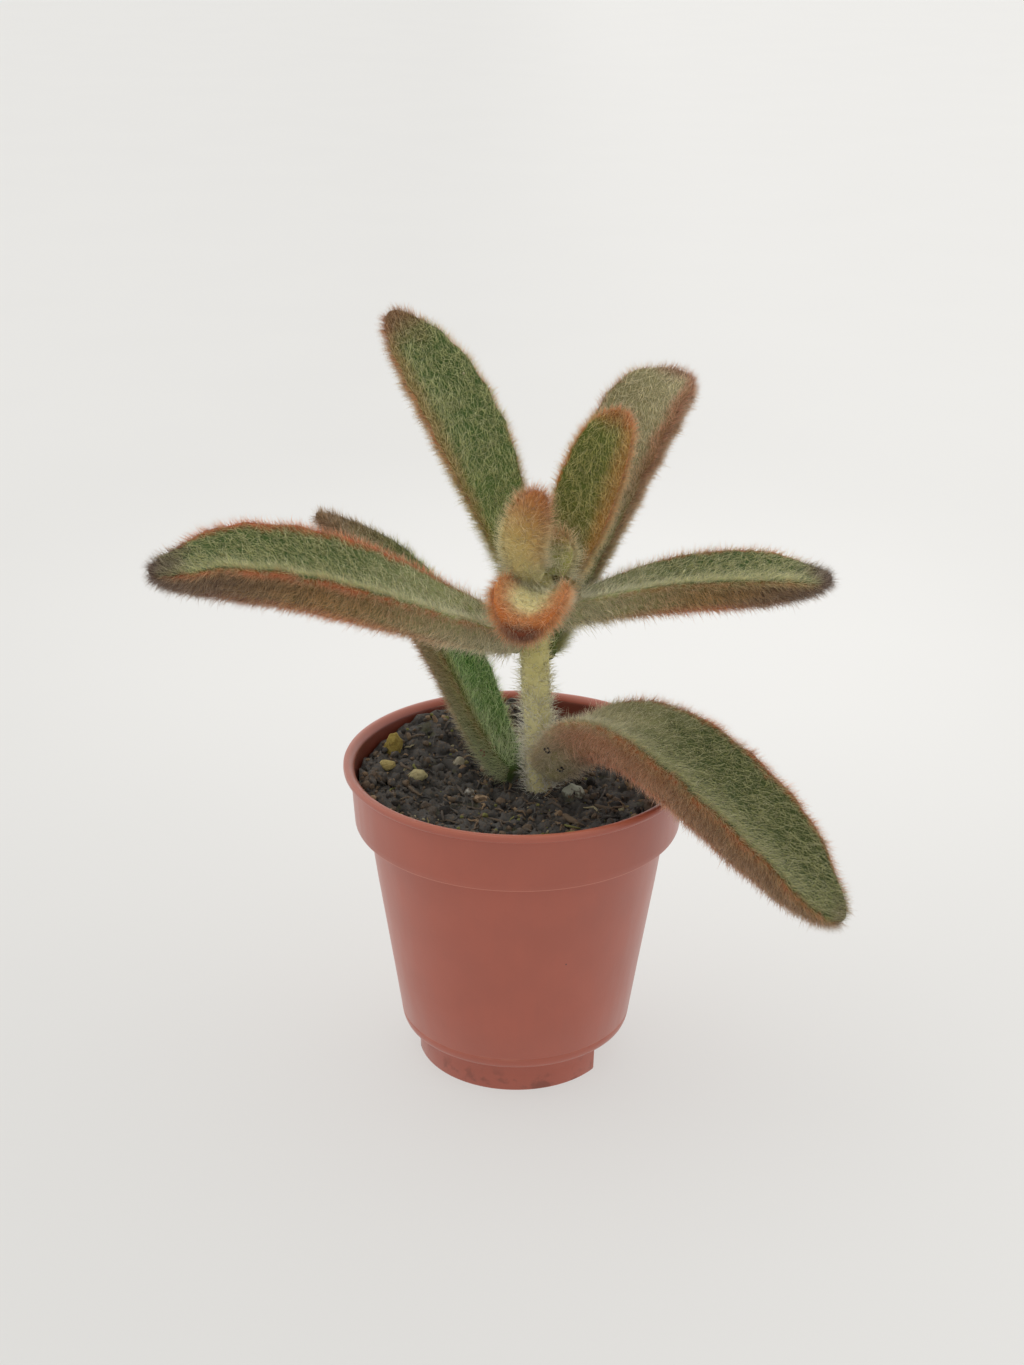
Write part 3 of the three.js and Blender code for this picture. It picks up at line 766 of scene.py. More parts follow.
def soil_bed(settings):
    """The soil's body: a plug that fills the pot, under a rough surface."""
    sides = settings.sectors
    angles = 2 * np.pi * np.arange(sides) / sides
    ring = np.stack([np.cos(angles), np.sin(angles)], -1)

    def at(radius, height):
        return np.concatenate([ring * radius, np.full((sides, 1), height)], -1)

    edge = np.interp(SOIL["middle"], *zip(*INNER_WALL)) - SOIL_CLEARANCE
    grid = [at(14, SOIL["bottom"]), at(INNER_WALL[0][1] - SOIL_CLEARANCE, SOIL["bottom"])]
    grid += [at(INNER_WALL[1][1] - 0.45, 42), at(INNER_WALL[2][1] - 0.35, 43.1)]
    for i in range(settings.rings, 0, -1):
        rim = ring * edge * i / settings.rings
        grid.append(np.column_stack([rim, rough_height(rim[:, 0], rim[:, 1])]))
    grid = np.stack(grid)
    middle = np.zeros(1)
    top = np.array([0, 0, rough_height(middle, middle)[0]])
    depth = grid[..., 2] - soil_height(grid[..., 0], grid[..., 1])
    poles = {"lie": [0, 0]}
    bottom = np.array([0, 0, SOIL["bottom"]])
    return closed_skin("soil_bed", grid, bottom, top, {"lie": depth}, poles)


def template_ball(subdivisions):
    """The points and triangles of an icosphere, for small grains."""
    begin_mesh()
    bpy.ops.mesh.primitive_ico_sphere_add(subdivisions=subdivisions, radius=1)
    ball = bpy.context.object
    points = np.array([v.co for v in ball.data.vertices])
    faces = np.array([list(p.vertices) for p in ball.data.polygons])
    bpy.data.objects.remove(ball)
    return points, faces


def soil_crumbs(name, seed, count, largest, subdivisions, clumps=()):
    """Loose crumbs strewn over the soil and gathered in the clumps, as one mesh."""
    rng = np.random.default_rng(seed)
    radius = STREWN["crumbs"] * np.sqrt(rng.uniform(0, 1, count))
    angle = rng.uniform(0, 2 * np.pi, count)
    x, y = radius * np.cos(angle), radius * np.sin(angle)
    size = largest * (0.35 + 0.65 * rng.uniform(0, 1, count) ** 2)
    lift = rng.uniform(-0.1, 0.5, count)
    tint = rng.uniform(0, 1, count)
    for (cx, cy), spread, high, many in clumps:
        away = rng.normal(0, 0.5, (many, 2)) * spread
        x, y = np.append(x, cx + away[:, 0]), np.append(y, cy + away[:, 1])
        size = np.append(size, rng.uniform(0.3, 0.75, many))
        dome = high * np.exp(-((away / spread) ** 2).sum(1) * 1.4)
        lift = np.append(lift, dome * rng.uniform(0.2, 1, many) / size[-many:])
        tint = np.append(tint, rng.uniform(0.3, 0.78, many))
    away = np.hypot(x, y)
    pull = np.minimum(1, (STREWN["crumb_edge"] - size) / away)
    x, y = x * pull, y * pull
    stem = np.array(STEM["spine"][1][:2])
    clear = np.hypot(x - stem[0], y - stem[1]) > STEM["radius"] + 0.6
    x, y, size, lift, tint = (a[clear] for a in (x, y, size, lift, tint))
    ball, faces = template_ball(subdivisions)
    count = len(x)
    shape = rng.uniform(0.5, 1.3, (count, 1, 3)) * size[:, None, None]
    turns = np.linalg.qr(rng.normal(size=(count, 3, 3)))[0]
    turns[np.linalg.det(turns) < 0, :, 0] *= -1
    middle = np.stack([x, y, rough_height(x, y) + lift * size], -1)
    points = (ball[None] * shape) @ turns
    points *= 1 + 0.28 * ripple(points + middle[:, None] * 3, 1.1, seed)[..., None]
    points += middle[:, None]
    every = faces[None] + (np.arange(count) * len(ball))[:, None, None]
    tints = np.repeat(tint, len(ball))
    return mesh_object(name, points.reshape(-1, 3), [every.reshape(-1, 3)], tint=tints)


def soil_fibres(settings):
    """Root fibres and slivers lying on the soil, each a bent rod, as one mesh."""
    rng = np.random.default_rng(SEEDS["fibres"])
    rods = list(FIBRES)
    while len(rods) < len(FIBRES) + settings.fibres:
        radius = STREWN["fibres"] * math.sqrt(rng.uniform())
        angle = rng.uniform(0, 2 * np.pi)
        start = np.array([radius * math.cos(angle), radius * math.sin(angle)])
        turn, length = rng.uniform(0, 2 * np.pi), rng.uniform(1, 4.2)
        end = start + length * np.array([math.cos(turn), math.sin(turn)])
        if np.hypot(*end) < STREWN["fibre_ends"]:
            rods.append((start, end, rng.uniform(0.09, 0.26), rng.uniform(0.2, 1)))
    steps, sides = 9, 5
    share = np.linspace(0, 1, steps)[:, None]
    points, faces, tints = [], [], []
    quads, _ = grid_faces(steps, sides)
    j = np.arange(sides)
    ends = [np.stack([np.full(sides, steps * sides), (j + 1) % sides, j], 1)]
    last = (steps - 1) * sides
    ends += [np.stack([last + j, last + (j + 1) % sides, np.full(sides, steps * sides + 1)], 1)]
    turns = 2 * np.pi * j / sides
    for n, (start, end, thick, tint) in enumerate(rods):
        start, end = np.asarray(start, float), np.asarray(end, float)
        way = unit(end - start)
        across = np.array([-way[1], way[0]])
        bend = rng.uniform(-0.22, 0.22) * np.linalg.norm(end - start)
        line = start + (end - start) * share + across * bend * np.sin(np.pi * share)
        height = rough_height(line[:, 0], line[:, 1])
        arch = rng.uniform(0.1, 0.9) * np.sin(np.pi * share[:, 0]) + 0.12
        height = np.full(steps, height.mean()) * 0.5 + height * 0.5 + arch * 0.5 + 0.1
        line = np.column_stack([line, height])
        girth = thick * (1 - 0.5 * np.abs(2 * share[:, 0] - 1) ** 2)
        side = np.array([across[0], across[1], 0])
        rings = line[:, None] + girth[:, None, None] * (
            np.cos(turns)[None, :, None] * side + np.sin(turns)[None, :, None] * [0, 0, 1]
        )
        offset = n * (steps * sides + 2)
        tails = [line[0] - 0.3 * thick * np.append(way, 0.6)]
        tails += [line[-1] + 0.3 * thick * np.append(way, -0.6)]
        points += [rings.reshape(-1, 3), np.array(tails)]
        faces += [quads + offset]
        faces += [part + offset for part in ends]
        tints += [tint] * (steps * sides + 2)
    return mesh_object("soil_fibres", np.concatenate(points), faces, tint=tints)


def caught_crumbs():
    """Small curls of crumbs held by the fur, as one mesh."""
    rng = np.random.default_rng(SEEDS["caught"])
    ball, faces = template_ball(1)
    points, every, tints = [], [], []
    nudge, curl, lift = 0.01, 0.5, 1.1
    for node, t, phi, count, tint in CAUGHT:
        leaf = LEAVES[node]
        skin = leaf_points(leaf, t, phi)
        along = unit(leaf_points(leaf, t + nudge, phi) - skin)
        round_it = unit(leaf_points(leaf, t, phi + nudge) - skin)
        out = unit(np.cross(round_it, along))
        for n in range(count):
            turn = 4.6 * n / count + rng.normal(0, 0.2)
            aside = curl * (math.cos(turn) * along + math.sin(turn) * round_it)
            every.append(faces + len(ball) * len(points))
            points.append(ball * rng.uniform(0.14, 0.24, 3) + skin + lift * out + aside)
            tints += [tint] * len(ball)
    return mesh_object("fur_crumbs", np.concatenate(points), [np.concatenate(every)], tint=tints)


def earth(settings, name, tinted):
    """Wet dark compost; on the soil's bed, shade is painted near black in its pits. Crumbs and fibres
    vary in colour by their tint.
    """
    shader = Shader(name)
    damp = shader.noise(2.6, 5)
    fine = shader.noise(0.45, 3)
    base = shader.mix(damp, tuple(c * 0.5 for c in settings.earth), settings.earth)
    base = shader.mix(fine.step(0.5, 0.75) * 0.7, base, tuple(c * 0.6 for c in settings.bark))
    if tinted:
        tint = shader.attribute("tint")
        base = shader.mix(0.8 - tint.step(0, 0.5) * 0.8, base, (0.014, 0.013, 0.012))
        base = shader.mix(tint.step(0.4, 0.8) * 0.7, base, tuple(c * 0.6 for c in settings.bark))
        base = shader.mix(tint.step(0.78, 0.92), base, settings.bark)
        base = shader.mix(tint.step(0.93, 0.94) * 0.9, base, settings.moss)
        base = shader.mix(tint.step(0.985, 0.99) * 0.8, base, srgb(196, 184, 150))
    else:
        # Painted shade: the soil's pits are darkened to near black.
        pits = 1 - shader.attribute("lie").step(-0.45, 0.2)
        base = shader.mix(pits * 0.65, base, (0.008, 0.008, 0.008))
        moss = shader.noise(3.4, 3).step(0.62, 0.72) * 0.35
        base = shader.mix(moss, base, tuple(c * 0.5 for c in settings.moss))
    return shader.finish(
        Base_Color=base,
        Roughness=0.62 + damp * 0.3,
        Specular_IOR_Level=0.35,
        Normal=shader.bump(fine + shader.noise(0.16, 2) * 0.5, 0.3),
    )


class MakeSoil(bpy.types.Operator):
    """Fills the pot with soil and strews crumbs and fibres over it and on the leaves"""

    bl_idname = "plant.make_soil"
    bl_label = "Make soil"

    def execute(self, context):
        settings = context.scene.panda_plant.soil
        settle(soil_bed(settings), "soil", earth(settings, "compost", False), "soil")
        crumbly = earth(settings, "compost_crumbs", True)
        size = settings.crumb_size
        large = soil_crumbs("soil_crumbs", SEEDS["crumbs"], settings.crumbs, size, 2, CLUMPS)
        settle(large, "soil", crumbly)
        small = soil_crumbs("soil_grit", SEEDS["grit"], settings.grit, size * 0.5, 1)
        settle(small, "soil", crumbly)
        settle(soil_fibres(settings), "soil", crumbly)
        settle(caught_crumbs(), "soil", crumbly)
        return {"FINISHED"}


# ---- grains ----------------------------------------------------------------------------

GRAIN_KINDS = {
    "perlite_1": (222, 226, 206), "perlite_2": (226, 214, 160), "perlite_3": (224, 220, 208),
    "perlite_4": (204, 186, 120), "perlite_5": (214, 206, 178), "bark_chip_1": (188, 166, 84),
    "bark_chip_2": (206, 176, 142),
}


def grain_material(name, screen):
    """Chalky grain or dry bark in that colour, stained by the soil in its hollows."""
    shader = Shader(name)
    pits = shader.noise(0.7, 4)
    low = shader.add("ShaderNodeSeparateXYZ", {"Vector": shader.place()}, output="Z") / MM
    dirt = shader.noise(0.9, 5) + (1 - low.step(46.4, 48)) * 0.18
    base = shader.mix(pits, tuple(c * 0.72 for c in srgb(*screen)), srgb(*screen))
    base = shader.mix(dirt.step(0.58, 0.74) * 0.75, base, srgb(74, 60, 40))
    return shader.finish(
        Base_Color=base, Roughness=0.85, Normal=shader.bump(pits + shader.noise(0.2), 0.35)
    )


class MakeGrains(bpy.types.Operator):
    """Puts the perlite grains and bark chips in the soil"""

    bl_idname = "plant.make_grains"
    bl_label = "Make grains"

    def execute(self, context):
        for number, (node, screen) in enumerate(GRAIN_KINDS.items()):
            low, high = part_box(node)
            begin_mesh()
            bpy.ops.mesh.primitive_ico_sphere_add(
                subdivisions=4, radius=0.5, location=(low + high) / 2, scale=high - low
            )
            grain = context.object
            bpy.ops.object.transform_apply(location=True, rotation=True, scale=True)
            middle = np.array((low + high) / 2)
            points = np.array([v.co for v in grain.data.vertices])
            rough = ripple(points / MM, 1.7, number) * 0.1 + ripple(points / MM, 0.6, 9) * 0.035
            points = middle + (points - middle) * (1 + rough[:, None])
            grain.data.vertices.foreach_set("co", points.astype(np.float32).ravel())
            bpy.ops.object.shade_smooth()
            grain.name = node + "_grain"
            slot = "perlite" if node.startswith("perlite") else "bark"
            settle(grain, slot, grain_material(grain.name, screen), node)
        return {"FINISHED"}


# ---- leaves and stem -------------------------------------------------------------------


def squared(cosine):
    """Turns what draws an oval into what draws a squarer section."""
    return np.sign(cosine) * np.abs(cosine) ** (2 / SQUARENESS)


def leaf_points(leaf, t, phi):
    """Points of a leaf's skin at t along it and the angle phi round it."""
    t, phi = np.broadcast_arrays(np.asarray(t, float), np.asarray(phi, float))
    centre, along = spine_at(leaf["spine"], t.ravel())
    near, far = unit(np.array(leaf["face"], float))
    share = t.ravel()[:, None]
    up = near * (1 - share) + far * share
    up = unit(up - along * (up * along).sum(-1, keepdims=True))
    across = np.cross(along, up)
    x, y = squared(np.cos(phi).ravel()), squared(np.sin(phi).ravel())
    t = t.ravel()
    widest, neck = leaf["widest"], leaf["neck"]
    rising = np.sin(np.pi / 2 * np.minimum(t / widest, 1))
    falling = np.clip((t - widest) / (1 - widest), 0, 1)
    outer = t > widest
    breadth = np.where(outer, (1 - falling**2.6) ** 0.55, neck + (1 - neck) * rising**1.25)
    root = min(1, neck + 0.25)
    fullness = np.where(outer, (1 - falling**3.2) ** 0.55, root + (1 - root) * rising)
    run = (t - SCALLOP["from"]) / (SCALLOP["to"] - SCALLOP["from"])
    wave = SCALLOP["height"] * np.sin(2 * np.pi * leaf["scallops"] * run)
    wave = np.where((run >= 0) & (run <= 1), wave, 0)
    half = leaf["width"] / 2 * breadth * (1 + wave)
    depth = leaf["depth"] * fullness
    drop = DROP * depth
    lift = leaf["cup"] * breadth * smoothstep(1 - t, 0, CUP_FADE) + drop
    height = lift * x * x + y * depth * np.where(y > 0, UPPER_SHARE, 1 - UPPER_SHARE) - drop
    points = centre - across * (half * x)[:, None] + up * height[:, None]
    return points.reshape(phi.shape + (3,))


def stem_points(t, phi):
    """Points of the stem's skin at t along it and the angle phi round it."""
    t, phi = np.broadcast_arrays(np.asarray(t, float), np.asarray(phi, float))
    centre, _ = spine_at(STEM["spine"], t.ravel())
    dome = np.sqrt(1 - np.maximum(0, 1 - (1 - t.ravel()) / STEM["dome"]) ** 2)
    radius = (STEM["radius"] + (STEM["crown"] - STEM["radius"]) * t.ravel() ** 3) * dome
    round_it = np.stack([np.cos(phi).ravel(), np.sin(phi).ravel(), 0 * dome], -1)
    return (centre + radius[:, None] * round_it).reshape(phi.shape + (3,))


def skin_of(name, shape, settings, seed, end):
    """A leaf or the stem: rings along it, closer together towards the tip."""
    steps = np.arange(settings.rings) / settings.rings
    t = (1 - (1 - steps) ** 1.35)[:, None]
    phi = (2 * np.pi * np.arange(settings.sides) / settings.sides)[None]
    grid = shape(t, phi)
    out = unit(grid - grid.mean(1, keepdims=True))
    rough = ripple(grid, 3.4, seed) + 0.5 * ripple(grid, 1.4, seed + 1)
    fade = np.minimum(1, 6 * (1 - t))[..., None]
    grid = grid + out * rough[..., None] * settings.relief * fade
    t, phi = np.broadcast_arrays(t, phi)
    attributes = {"along": t, "across": squared(np.cos(phi)), "side": squared(np.sin(phi))}
    poles = {"along": [0, 1], "across": [0, 0], "side": [0, 0]}
    return closed_skin(name, grid, grid[0].mean(0), end, attributes, poles)


def slot_of(leaf):
    """The material slot of a leaf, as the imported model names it."""
    return "leaf" if leaf["kind"] in ("grown", "rear", "green", "low") else "young_leaf"


def leaf_tone(shader, leaf, part):
    """A leaf's colour at each place, for its flesh or its fur."""
    near, face, under, margin, tip = (srgb(*c) for c in PALETTES[leaf["kind"]][part])
    along, across = shader.attribute("along"), shader.attribute("across")
    side = shader.attribute("side")
    patches = shader.noise(3.2, 3) - 0.5
    streaks = shader.noise(0.8, 3) - 0.5
    (right, right_share), (left, left_share) = leaf["strips"]
    right_rim, left_rim = leaf["rims"]
    begin, strength, beneath = leaf["tip"]
    on_left = across > 0
    width = right + on_left * (left - right)
    width = width * (0.55 + along.step(0.05, 0.6) * 0.45)
    rust = (abs(across) + (patches + streaks) * 0.2 - 1 + width) / (width * 0.9 + 0.02)
    below = 1 - (side + patches * 0.3).step(-0.3, 0.02)
    upper = shader.mix((along + patches * 0.3).step(0.05, 0.58), near, face)
    lower = shader.mix(0.2 + along.step(0.05, 0.6) * 0.8, near, under)
    if leaf["kind"] == "low":
        warm = along.step(0.06, 0.24) * (1 - along.step(0.35, 0.7) * 0.6)
        lower = shader.mix(warm * 0.55, lower, margin)
    base = shader.mix(below, upper, lower)
    late = along.step(0.4, 0.72) if leaf["kind"] == "rear" else along.step(0, 0.25)
    shown = 1 if leaf["kind"] == "fawn" else 1 - below
    share = right_share + on_left * (left_share - right_share)
    base = shader.mix(rust.step(0, 1) * late * share * shown, base, margin)
    if leaf["kind"] == "bud":
        base = shader.mix((along + patches * 0.2).step(0.6, 0.85) * 0.9, base, margin)
    if slot_of(leaf) == "leaf":
        keel = (0 - side + streaks * 0.2).step(0.66, 0.95) * along.step(0.05, 0.5)
        base = shader.mix(keel * 0.75, base, margin)
    band = 0.3 + (1 - along.step(0.1, 0.5)) * (0.5 if leaf["kind"] == "low" else 0)
    rim = (1 - abs(side).step(0.02, band)) * (right_rim + on_left * (left_rim - right_rim))
    fleck = 0.4 + (patches + streaks).step(-0.2, 0.2) * 0.6
    base = shader.mix(rim * (0.35 + along.step(0.05, 0.6) * 0.65) * fleck, base, margin)
    dark = (along + patches * 0.1).step(begin, 1) * strength
    beneath = below * (along + patches * 0.2).step(0.5, 0.95) * beneath
    return shader.mix(dark + (1 - dark) * beneath, base, tip)


def flesh_material(name, leaf):
    """A leaf's skin under its fur, mottled and finely pored."""
    shader = Shader(name)
    base = leaf_tone(shader, leaf, "flesh")
    mottle = shader.noise(1.1, 4)
    base = shader.mix(mottle.step(0.35, 0.75) * 0.4, base, (0.5, 0.5, 0.5), "SOFT_LIGHT")
    pores = shader.noise(0.3, 2)
    return shader.finish(
        Base_Color=base,
        Roughness=0.62 + mottle * 0.2,
        Specular_IOR_Level=0.3,
        Sheen_Weight=0.25,
        Sheen_Roughness=0.4,
        Normal=shader.bump(pores * 0.4 + mottle, 0.1),
    )


def fur_material(name, tone):
    """Fine, dull hairs, each lighter or darker by its shade and paler towards its tip."""
    shader = Shader(name)
    shade = shader.attribute("shade")
    base = shader.mix(1.0, tone(shader), 0.5 + shade * 0.75, "MULTIPLY")
    paler = shader.attribute("rise") * 0.2 + shade.step(0.8, 0.95) * 0.18
    base = shader.mix(paler, base, (0.97, 0.86, 0.68))
    return shader.finish(
        Base_Color=base, Roughness=0.6, Specular_IOR_Level=0.3,
        Sheen_Weight=0.6, Sheen_Roughness=0.45, Sheen_Tint=(1, 0.88, 0.7),
    )


def stem_tone(part):
    """The stem's colour at each place: whiter towards the soil, yellower towards the crown."""
    low, high = {
        "flesh": ((240, 234, 176), (214, 205, 132)),
        "fur": ((255, 255, 240), (255, 252, 200)),
    }[part]

    def tone(shader):
        along = shader.attribute("along")
        patches = shader.noise(2, 3) - 0.5
        return shader.mix((along + patches * 0.3).step(0.4, 0.75), srgb(*low), srgb(*high))

    return tone


class MakeFlesh(bpy.types.Operator):
    """Grows the stem and the leaves, without their fur"""

    bl_idname = "plant.make_flesh"
    bl_label = "Make stem and leaves"

    def execute(self, context):
        settings = context.scene.panda_plant.leaves
        shader = Shader("stem_flesh")
        base = stem_tone("flesh")(shader)
        bump = shader.bump(shader.noise(0.5, 3), 0.12)
        shader.finish(Base_Color=base, Roughness=0.7, Sheen_Weight=0.2, Normal=bump)
        end = spine_at(STEM["spine"], np.ones(1))[0][0]
        stem = skin_of("stem_flesh", stem_points, settings, SEEDS["stem"], end)
        settle(stem, "stem", shader.material, "stem")
        for number, (node, leaf) in enumerate(LEAVES.items()):
            name = node + "_flesh"
            end = spine_at(leaf["spine"], np.ones(1))[0][0]

            def shape(t, phi, leaf=leaf):
                return leaf_points(leaf, t, phi)

            flesh = skin_of(name, shape, settings, SEEDS["leaves"] + 2 * number, end)
            settle(flesh, slot_of(leaf), flesh_material(name, leaf), node)
        return {"FINISHED"}


# ---- fur -------------------------------------------------------------------------------


def scatter(shape, rng, density, favour, ends=(0.0, 0.995)):
    """Roots strewn evenly over a skin, but denser where favour is higher: their t and phi,
    places, normals and the way to the tip."""
    t = np.linspace(*ends, 161)[:, None]
    phi = np.linspace(0, 2 * np.pi, 97)[None]
    grid = shape(t, phi)
    edge_t, edge_phi = grid[1:, :-1] - grid[:-1, :-1], grid[:-1, 1:] - grid[:-1, :-1]
    area = np.linalg.norm(np.cross(edge_t, edge_phi), axis=-1)
    mid_t, mid_phi = np.broadcast_arrays((t[1:] + t[:-1]) / 2, (phi[:, 1:] + phi[:, :-1]) / 2)
    weight = (area * favour(mid_t, mid_phi)).ravel()
    count = int(density * weight.sum())
    picked = rng.choice(weight.size, count, p=weight / weight.sum())
    i, j = np.unravel_index(picked, area.shape)
    step_t, step_phi = t[1, 0] - t[0, 0], phi[0, 1]
    at_t = t[i, 0] + step_t * rng.uniform(0, 1, count)
    at_phi = phi[0, j] + step_phi * rng.uniform(0, 1, count)
    root = shape(at_t, at_phi)
    nudge = 1e-3
    to_tip = unit(shape(np.minimum(at_t + nudge, 1), at_phi) - shape(at_t - nudge, at_phi))
    round_it = unit(shape(at_t, at_phi + nudge) - shape(at_t, at_phi - nudge))
    normal = unit(np.cross(round_it, to_tip))
    return at_t, at_phi, root, normal, to_tip


def hair_mesh(name, roots, ways, lengths, widths, **attributes):
    """Closed three-sided spikes, each with its own patch of the map."""
    count = len(roots)
    helper = np.where(np.abs(ways[:, 2:]) < 0.8, [[0, 0, 1.0]], [[1.0, 0, 0]])
    first = unit(np.cross(ways, helper))
    second = np.cross(ways, first)
    points = np.empty((count, 4, 3))
    for corner in range(3):
        angle = 2 * np.pi * corner / 3
        spoke = math.cos(angle) * first + math.sin(angle) * second
        points[:, corner] = roots - HAIR_SUNK * ways + spoke * widths[:, None] / 2
    points[:, 3] = roots + ways * lengths[:, None]
    faces = np.array([[0, 1, 3], [1, 2, 3], [2, 0, 3], [0, 2, 1]])
    every = (faces[None] + 4 * np.arange(count)[:, None, None]).reshape(-1, 3)
    across = math.ceil(count**0.5)
    cell = np.stack(np.divmod(np.arange(count), across), -1)[:, None, None]
    wall, foot = [(0.12, 0.12), (0.88, 0.12), (0.5, 0.88)], [(0.12, 0.12), (0.5, 0.4), (0.88, 0.12)]
    uv = (cell + np.array([wall, wall, wall, foot])[None]) / across
    rise = np.tile([0.0, 0, 0, 1], count)
    spread = {key: np.repeat(values, 4) for key, values in attributes.items()}
    return mesh_object(name, points.reshape(-1, 3), [every], uv.reshape(-1, 2), rise=rise, **spread)


def comb(rng, normal, to_tip, lean, spread):
    """Hair directions: leaning from the normal towards the tip, with some turned aside."""
    count = len(normal)
    aside = np.cross(normal, to_tip)
    turn = rng.normal(0, spread, count)[:, None]
    lean = lean[:, None]
    flat = to_tip * np.cos(turn) + aside * np.sin(turn)
    return unit(normal * np.cos(lean) + flat * np.sin(lean))


def leaf_fur(node, leaf, settings, seed):
    """A leaf's hairs: combed flat on its sides, upright and closer at its margins and tip."""
    rng = np.random.default_rng(seed)

    def favour(t, phi):
        rim = smoothstep(np.abs(np.cos(phi)), 0.8, 1)
        return 1 + 2 * rim + 0.4 * smoothstep(t, 0.3, 0) + smoothstep(t, 0.9, 1)

    def shape(t, phi):
        return leaf_points(leaf, t, phi)

    t, phi, roots, normal, to_tip = scatter(
        shape, rng, settings.density, favour, (0.012, 0.995)
    )
    count = len(t)
    x, y = squared(np.cos(phi)), squared(np.sin(phi))
    rim = np.minimum(1, smoothstep(np.abs(x), 0.85, 0.99) + smoothstep(t, 0.92, 1))
    shade = rng.uniform(size=count)
    guard = shade > 0.88
    lean = (52 if leaf["kind"] in LONGER_FUR else 64) - 14 * (y < -0.3) - 30 * rim
    lean = np.radians(np.clip(lean + rng.normal(0, 17, count), 4, 84))
    ways = comb(rng, normal, to_tip, lean, 0.8)
    length = settings.length * (1 + (settings.fringe - 1) * np.maximum(rim, 0.5 * (y < 0)))
    length *= rng.uniform(0.5, 1.1, count) * np.where(guard, 1.45 - 0.25 * rim, 1)
    length *= LONGER_FUR.get(leaf["kind"], 1)
    length *= 1 + 0.5 * smoothstep(t, 0.3, 0.02)
    values = {"along": t, "across": x, "side": y, "shade": shade}
    width = settings.thickness * (0.6 + 0.5 * shade + 0.15 * guard) * (1 - 0.4 * rim)
    fur = hair_mesh(node + "_fur", roots, ways, length, width, **values)
    material = fur_material(fur.name, lambda shader: leaf_tone(shader, leaf, "fur"))
    settle(fur, slot_of(leaf), material)


def stem_fur(settings):
    """The stem's hairs: short ones that lie close, and long ones that stand away."""
    rng = np.random.default_rng(SEEDS["stem_fur"])

    def favour(t, phi):
        return 1 + 0.5 * smoothstep(t, 0.6, 0.2) + 0 * phi

    t, phi, roots, normal, to_tip = scatter(
        stem_points, rng, 0.75 * settings.density, favour, (0.16, 0.995)
    )
    count = len(t)
    shade = rng.uniform(size=count)
    guard, upright = shade > 0.5, shade > 0.7
    lean = np.where(guard, 60, 74) - 40 * upright + rng.normal(0, 14, count)
    ways = comb(rng, normal, to_tip, np.radians(np.clip(lean, 0, 84)), 1)
    length = np.where(guard, rng.uniform(0.45, 1.2, count), rng.uniform(0.2, 0.35, count))
    length *= settings.stem_length * (1 - 0.35 * smoothstep(t, 0.5, 0.7))
    width = settings.thickness * np.where(guard, 1.7 - 0.3 * upright, 0.8)
    values = {"along": t, "across": np.cos(phi), "side": np.sin(phi), "shade": shade}
    fur = hair_mesh("stem_fur", roots, ways, length, width, **values)
    settle(fur, "stem", fur_material(fur.name, stem_tone("fur")))


class MakeFur(bpy.types.Operator):
    """Covers the stem and the leaves with hairs"""

    bl_idname = "plant.make_fur"
    bl_label = "Make fur"

    def execute(self, context):
        settings = context.scene.panda_plant.fur
        stem_fur(settings)
        for number, (node, leaf) in enumerate(LEAVES.items()):
            leaf_fur(node, leaf, settings, SEEDS["leaf_fur"] + number)
        return {"FINISHED"}


# ---- stage -----------------------------------------------------------------------------


# Where the camera stands from the pot's axis, in mm, its lens in mm, how far it looks down in
# degrees, and how far it leans in radians.
CAMERA = {"place": (-1.03, -293.72, 187.67), "lens": 54.07, "down": 22.789, "lean": 0.0088}


def make_camera():
    """A camera a little above the plant, in front of it."""
    camera = bpy.data.cameras.new("camera")
    camera.sensor_width, camera.lens = 36, CAMERA["lens"]
    camera.clip_start, camera.clip_end = 0.01, 20
    obj = bpy.data.objects.new("camera", camera)
    bpy.context.scene.collection.objects.link(obj)
    obj.location = (AXIS + CAMERA["place"]) * MM
    tilt = math.radians(90 - CAMERA["down"])
    obj.rotation_euler = (
        Matrix.Rotation(tilt, 3, "X") @ Matrix.Rotation(CAMERA["lean"], 3, "Z")
    ).to_euler()
    bpy.context.scene.camera = obj


def make_lamp(name, place, size, power, tint):
    """A square area lamp that shines at the middle of the plant."""
    lamp = bpy.data.lights.new(name, "AREA")
    lamp.size, lamp.energy, lamp.color = size, power, tint
    obj = bpy.data.objects.new(name, lamp)
    bpy.context.scene.collection.objects.link(obj)
    obj.location = place
    aim = Vector((0, 0, 0.06)) - obj.location
    obj.rotation_euler = aim.to_track_quat("-Z", "Y").to_euler()


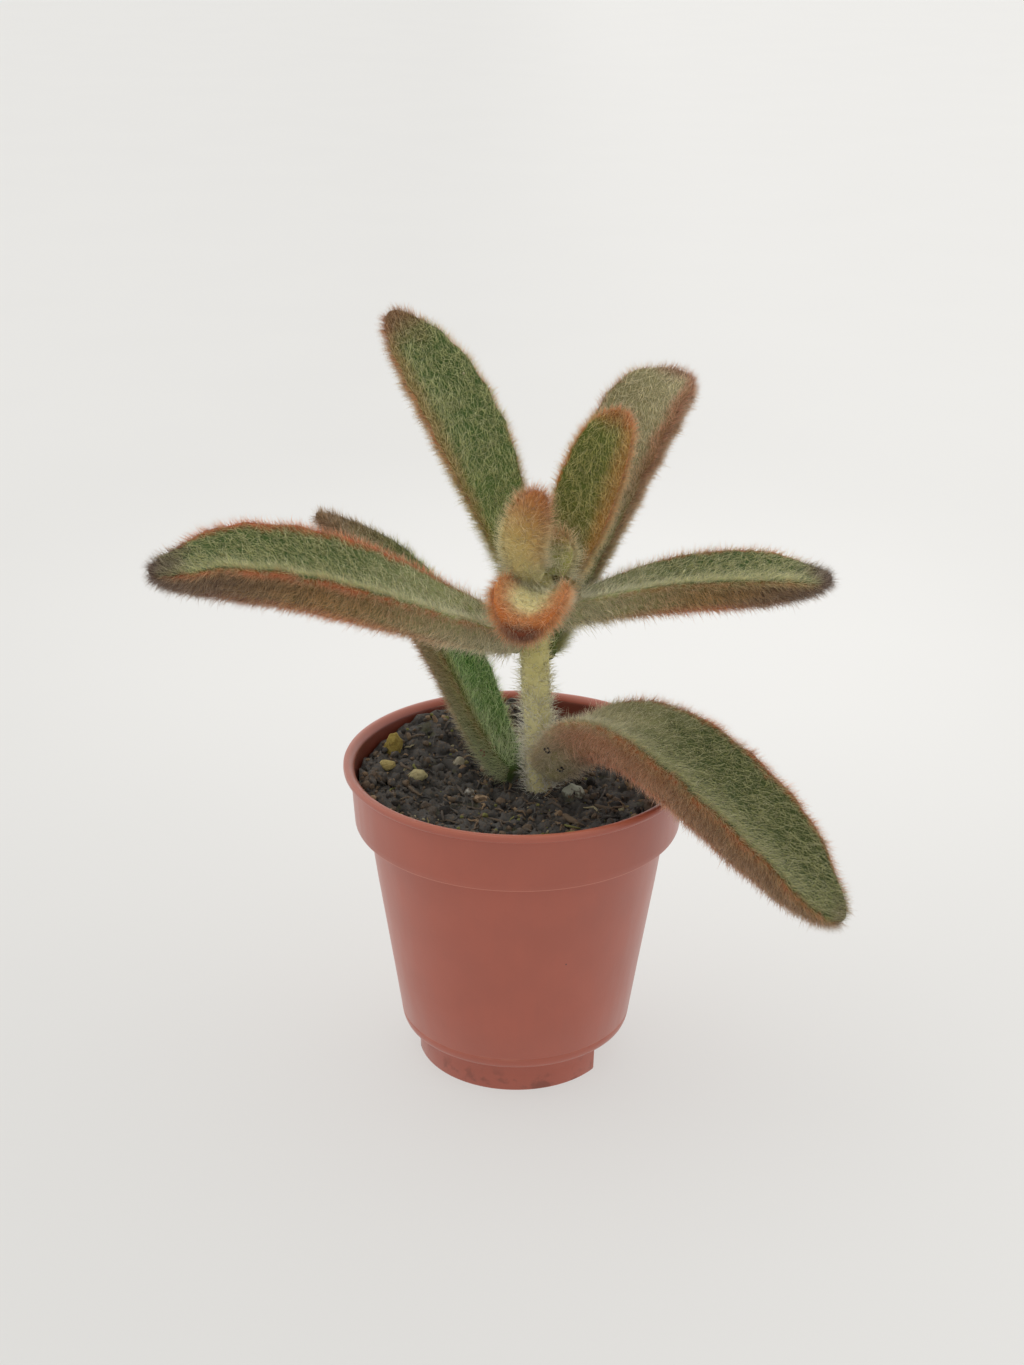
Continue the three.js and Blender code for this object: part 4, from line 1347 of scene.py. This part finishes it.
class MakeStage(bpy.types.Operator):
    """Adds the floor, the soft light and the camera"""

    bl_idname = "plant.make_stage"
    bl_label = "Make stage"

    def execute(self, context):
        settings = context.scene.panda_plant.stage
        begin_mesh()
        bpy.ops.mesh.primitive_plane_add(size=12, location=(0, 0, 0))
        floor = context.object
        floor.name = "floor"
        shader = Shader("floor")
        soft = shader.noise(60, 2)
        base = shader.mix(soft, tuple(c * 0.27 for c in settings.floor),
                          tuple(c * 0.29 for c in settings.floor))
        place = {"Vector": shader.place()}
        x = shader.add("ShaderNodeSeparateXYZ", place, output="X")
        y = shader.add("ShaderNodeSeparateXYZ", place, output="Y")
        # Painted light: the floor glows, which also pales the shadows cast on it.
        glow = shader.mix(
            y.step(-0.2, 0.4), tuple(c * 0.98 for c in settings.floor),
            tuple(c * 1.07 for c in settings.floor),
        )
        # The painted glow is brightest behind the plant, and a little brighter on the right.
        away = ((x - 0.01) * (x - 0.01) + (y - 0.17) * (y - 0.17)) ** 0.5
        brighter = (1 - away.step(0.02, 0.2)) * 0.15 + x.step(-0.07, 0.12) * 0.1
        glow = shader.mix(1.0, glow, 1 + brighter, "MULTIPLY")
        shader.finish(
            Base_Color=base, Roughness=0.75, Specular_IOR_Level=0.2,
            Emission_Color=glow, Emission_Strength=settings.glow,
        )
        floor.data.materials.append(shader.material)
        sky = Sky("soft_light")
        way = sky.add("ShaderNodeTexCoord", output="Generated")
        front = 0 - sky.add("ShaderNodeSeparateXYZ", {"Vector": way}, output="Y")
        strength = settings.sky_strength * (1 - front.step(-0.2, 0.85) * settings.dimness)
        context.scene.world = sky.finish(Color=settings.sky, Strength=strength)
        make_lamp("window", (-0.4, 0.1, 0.9), 0.7, settings.lamp_power, (1, 0.99, 0.97))
        make_camera()
        return {"FINISHED"}


# ---- the add-on ------------------------------------------------------------------------


class PlantPanel(bpy.types.Panel):
    """The plant's pieces and settings in the sidebar"""

    bl_idname = "VIEW3D_PT_panda_plant"
    bl_label = "Panda plant"
    bl_space_type = "VIEW_3D"
    bl_region_type = "UI"
    bl_category = "Plant"

    def draw(self, context):
        plant = context.scene.panda_plant
        for group, operator in (
            (plant.pot, MakePot), (plant.soil, MakeSoil), (None, MakeGrains),
            (plant.leaves, MakeFlesh), (plant.fur, MakeFur), (plant.stage, MakeStage),
        ):
            box = self.layout.box()
            if group:
                for name in group.__annotations__:
                    box.prop(group, name)
            box.operator(operator.bl_idname)


CLASSES = (
    PotSettings, SoilSettings, LeafSettings, FurSettings, StageSettings, PlantSettings,
    MakePot, MakeSoil, MakeGrains, MakeFlesh, MakeFur, MakeStage, PlantPanel,
)


def register():
    for each in CLASSES:
        bpy.utils.register_class(each)
    bpy.types.Scene.panda_plant = PointerProperty(type=PlantSettings)


def unregister():
    del bpy.types.Scene.panda_plant
    for each in reversed(CLASSES):
        bpy.utils.unregister_class(each)


def main():
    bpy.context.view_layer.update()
    register()
    bpy.context.scene.view_settings.view_transform = "Standard"
    bpy.ops.plant.make_pot()
    bpy.ops.plant.make_soil()
    bpy.ops.plant.make_grains()
    bpy.ops.plant.make_flesh()
    bpy.ops.plant.make_fur()
    bpy.ops.plant.make_stage()


if __name__ == "__main__":
    main()
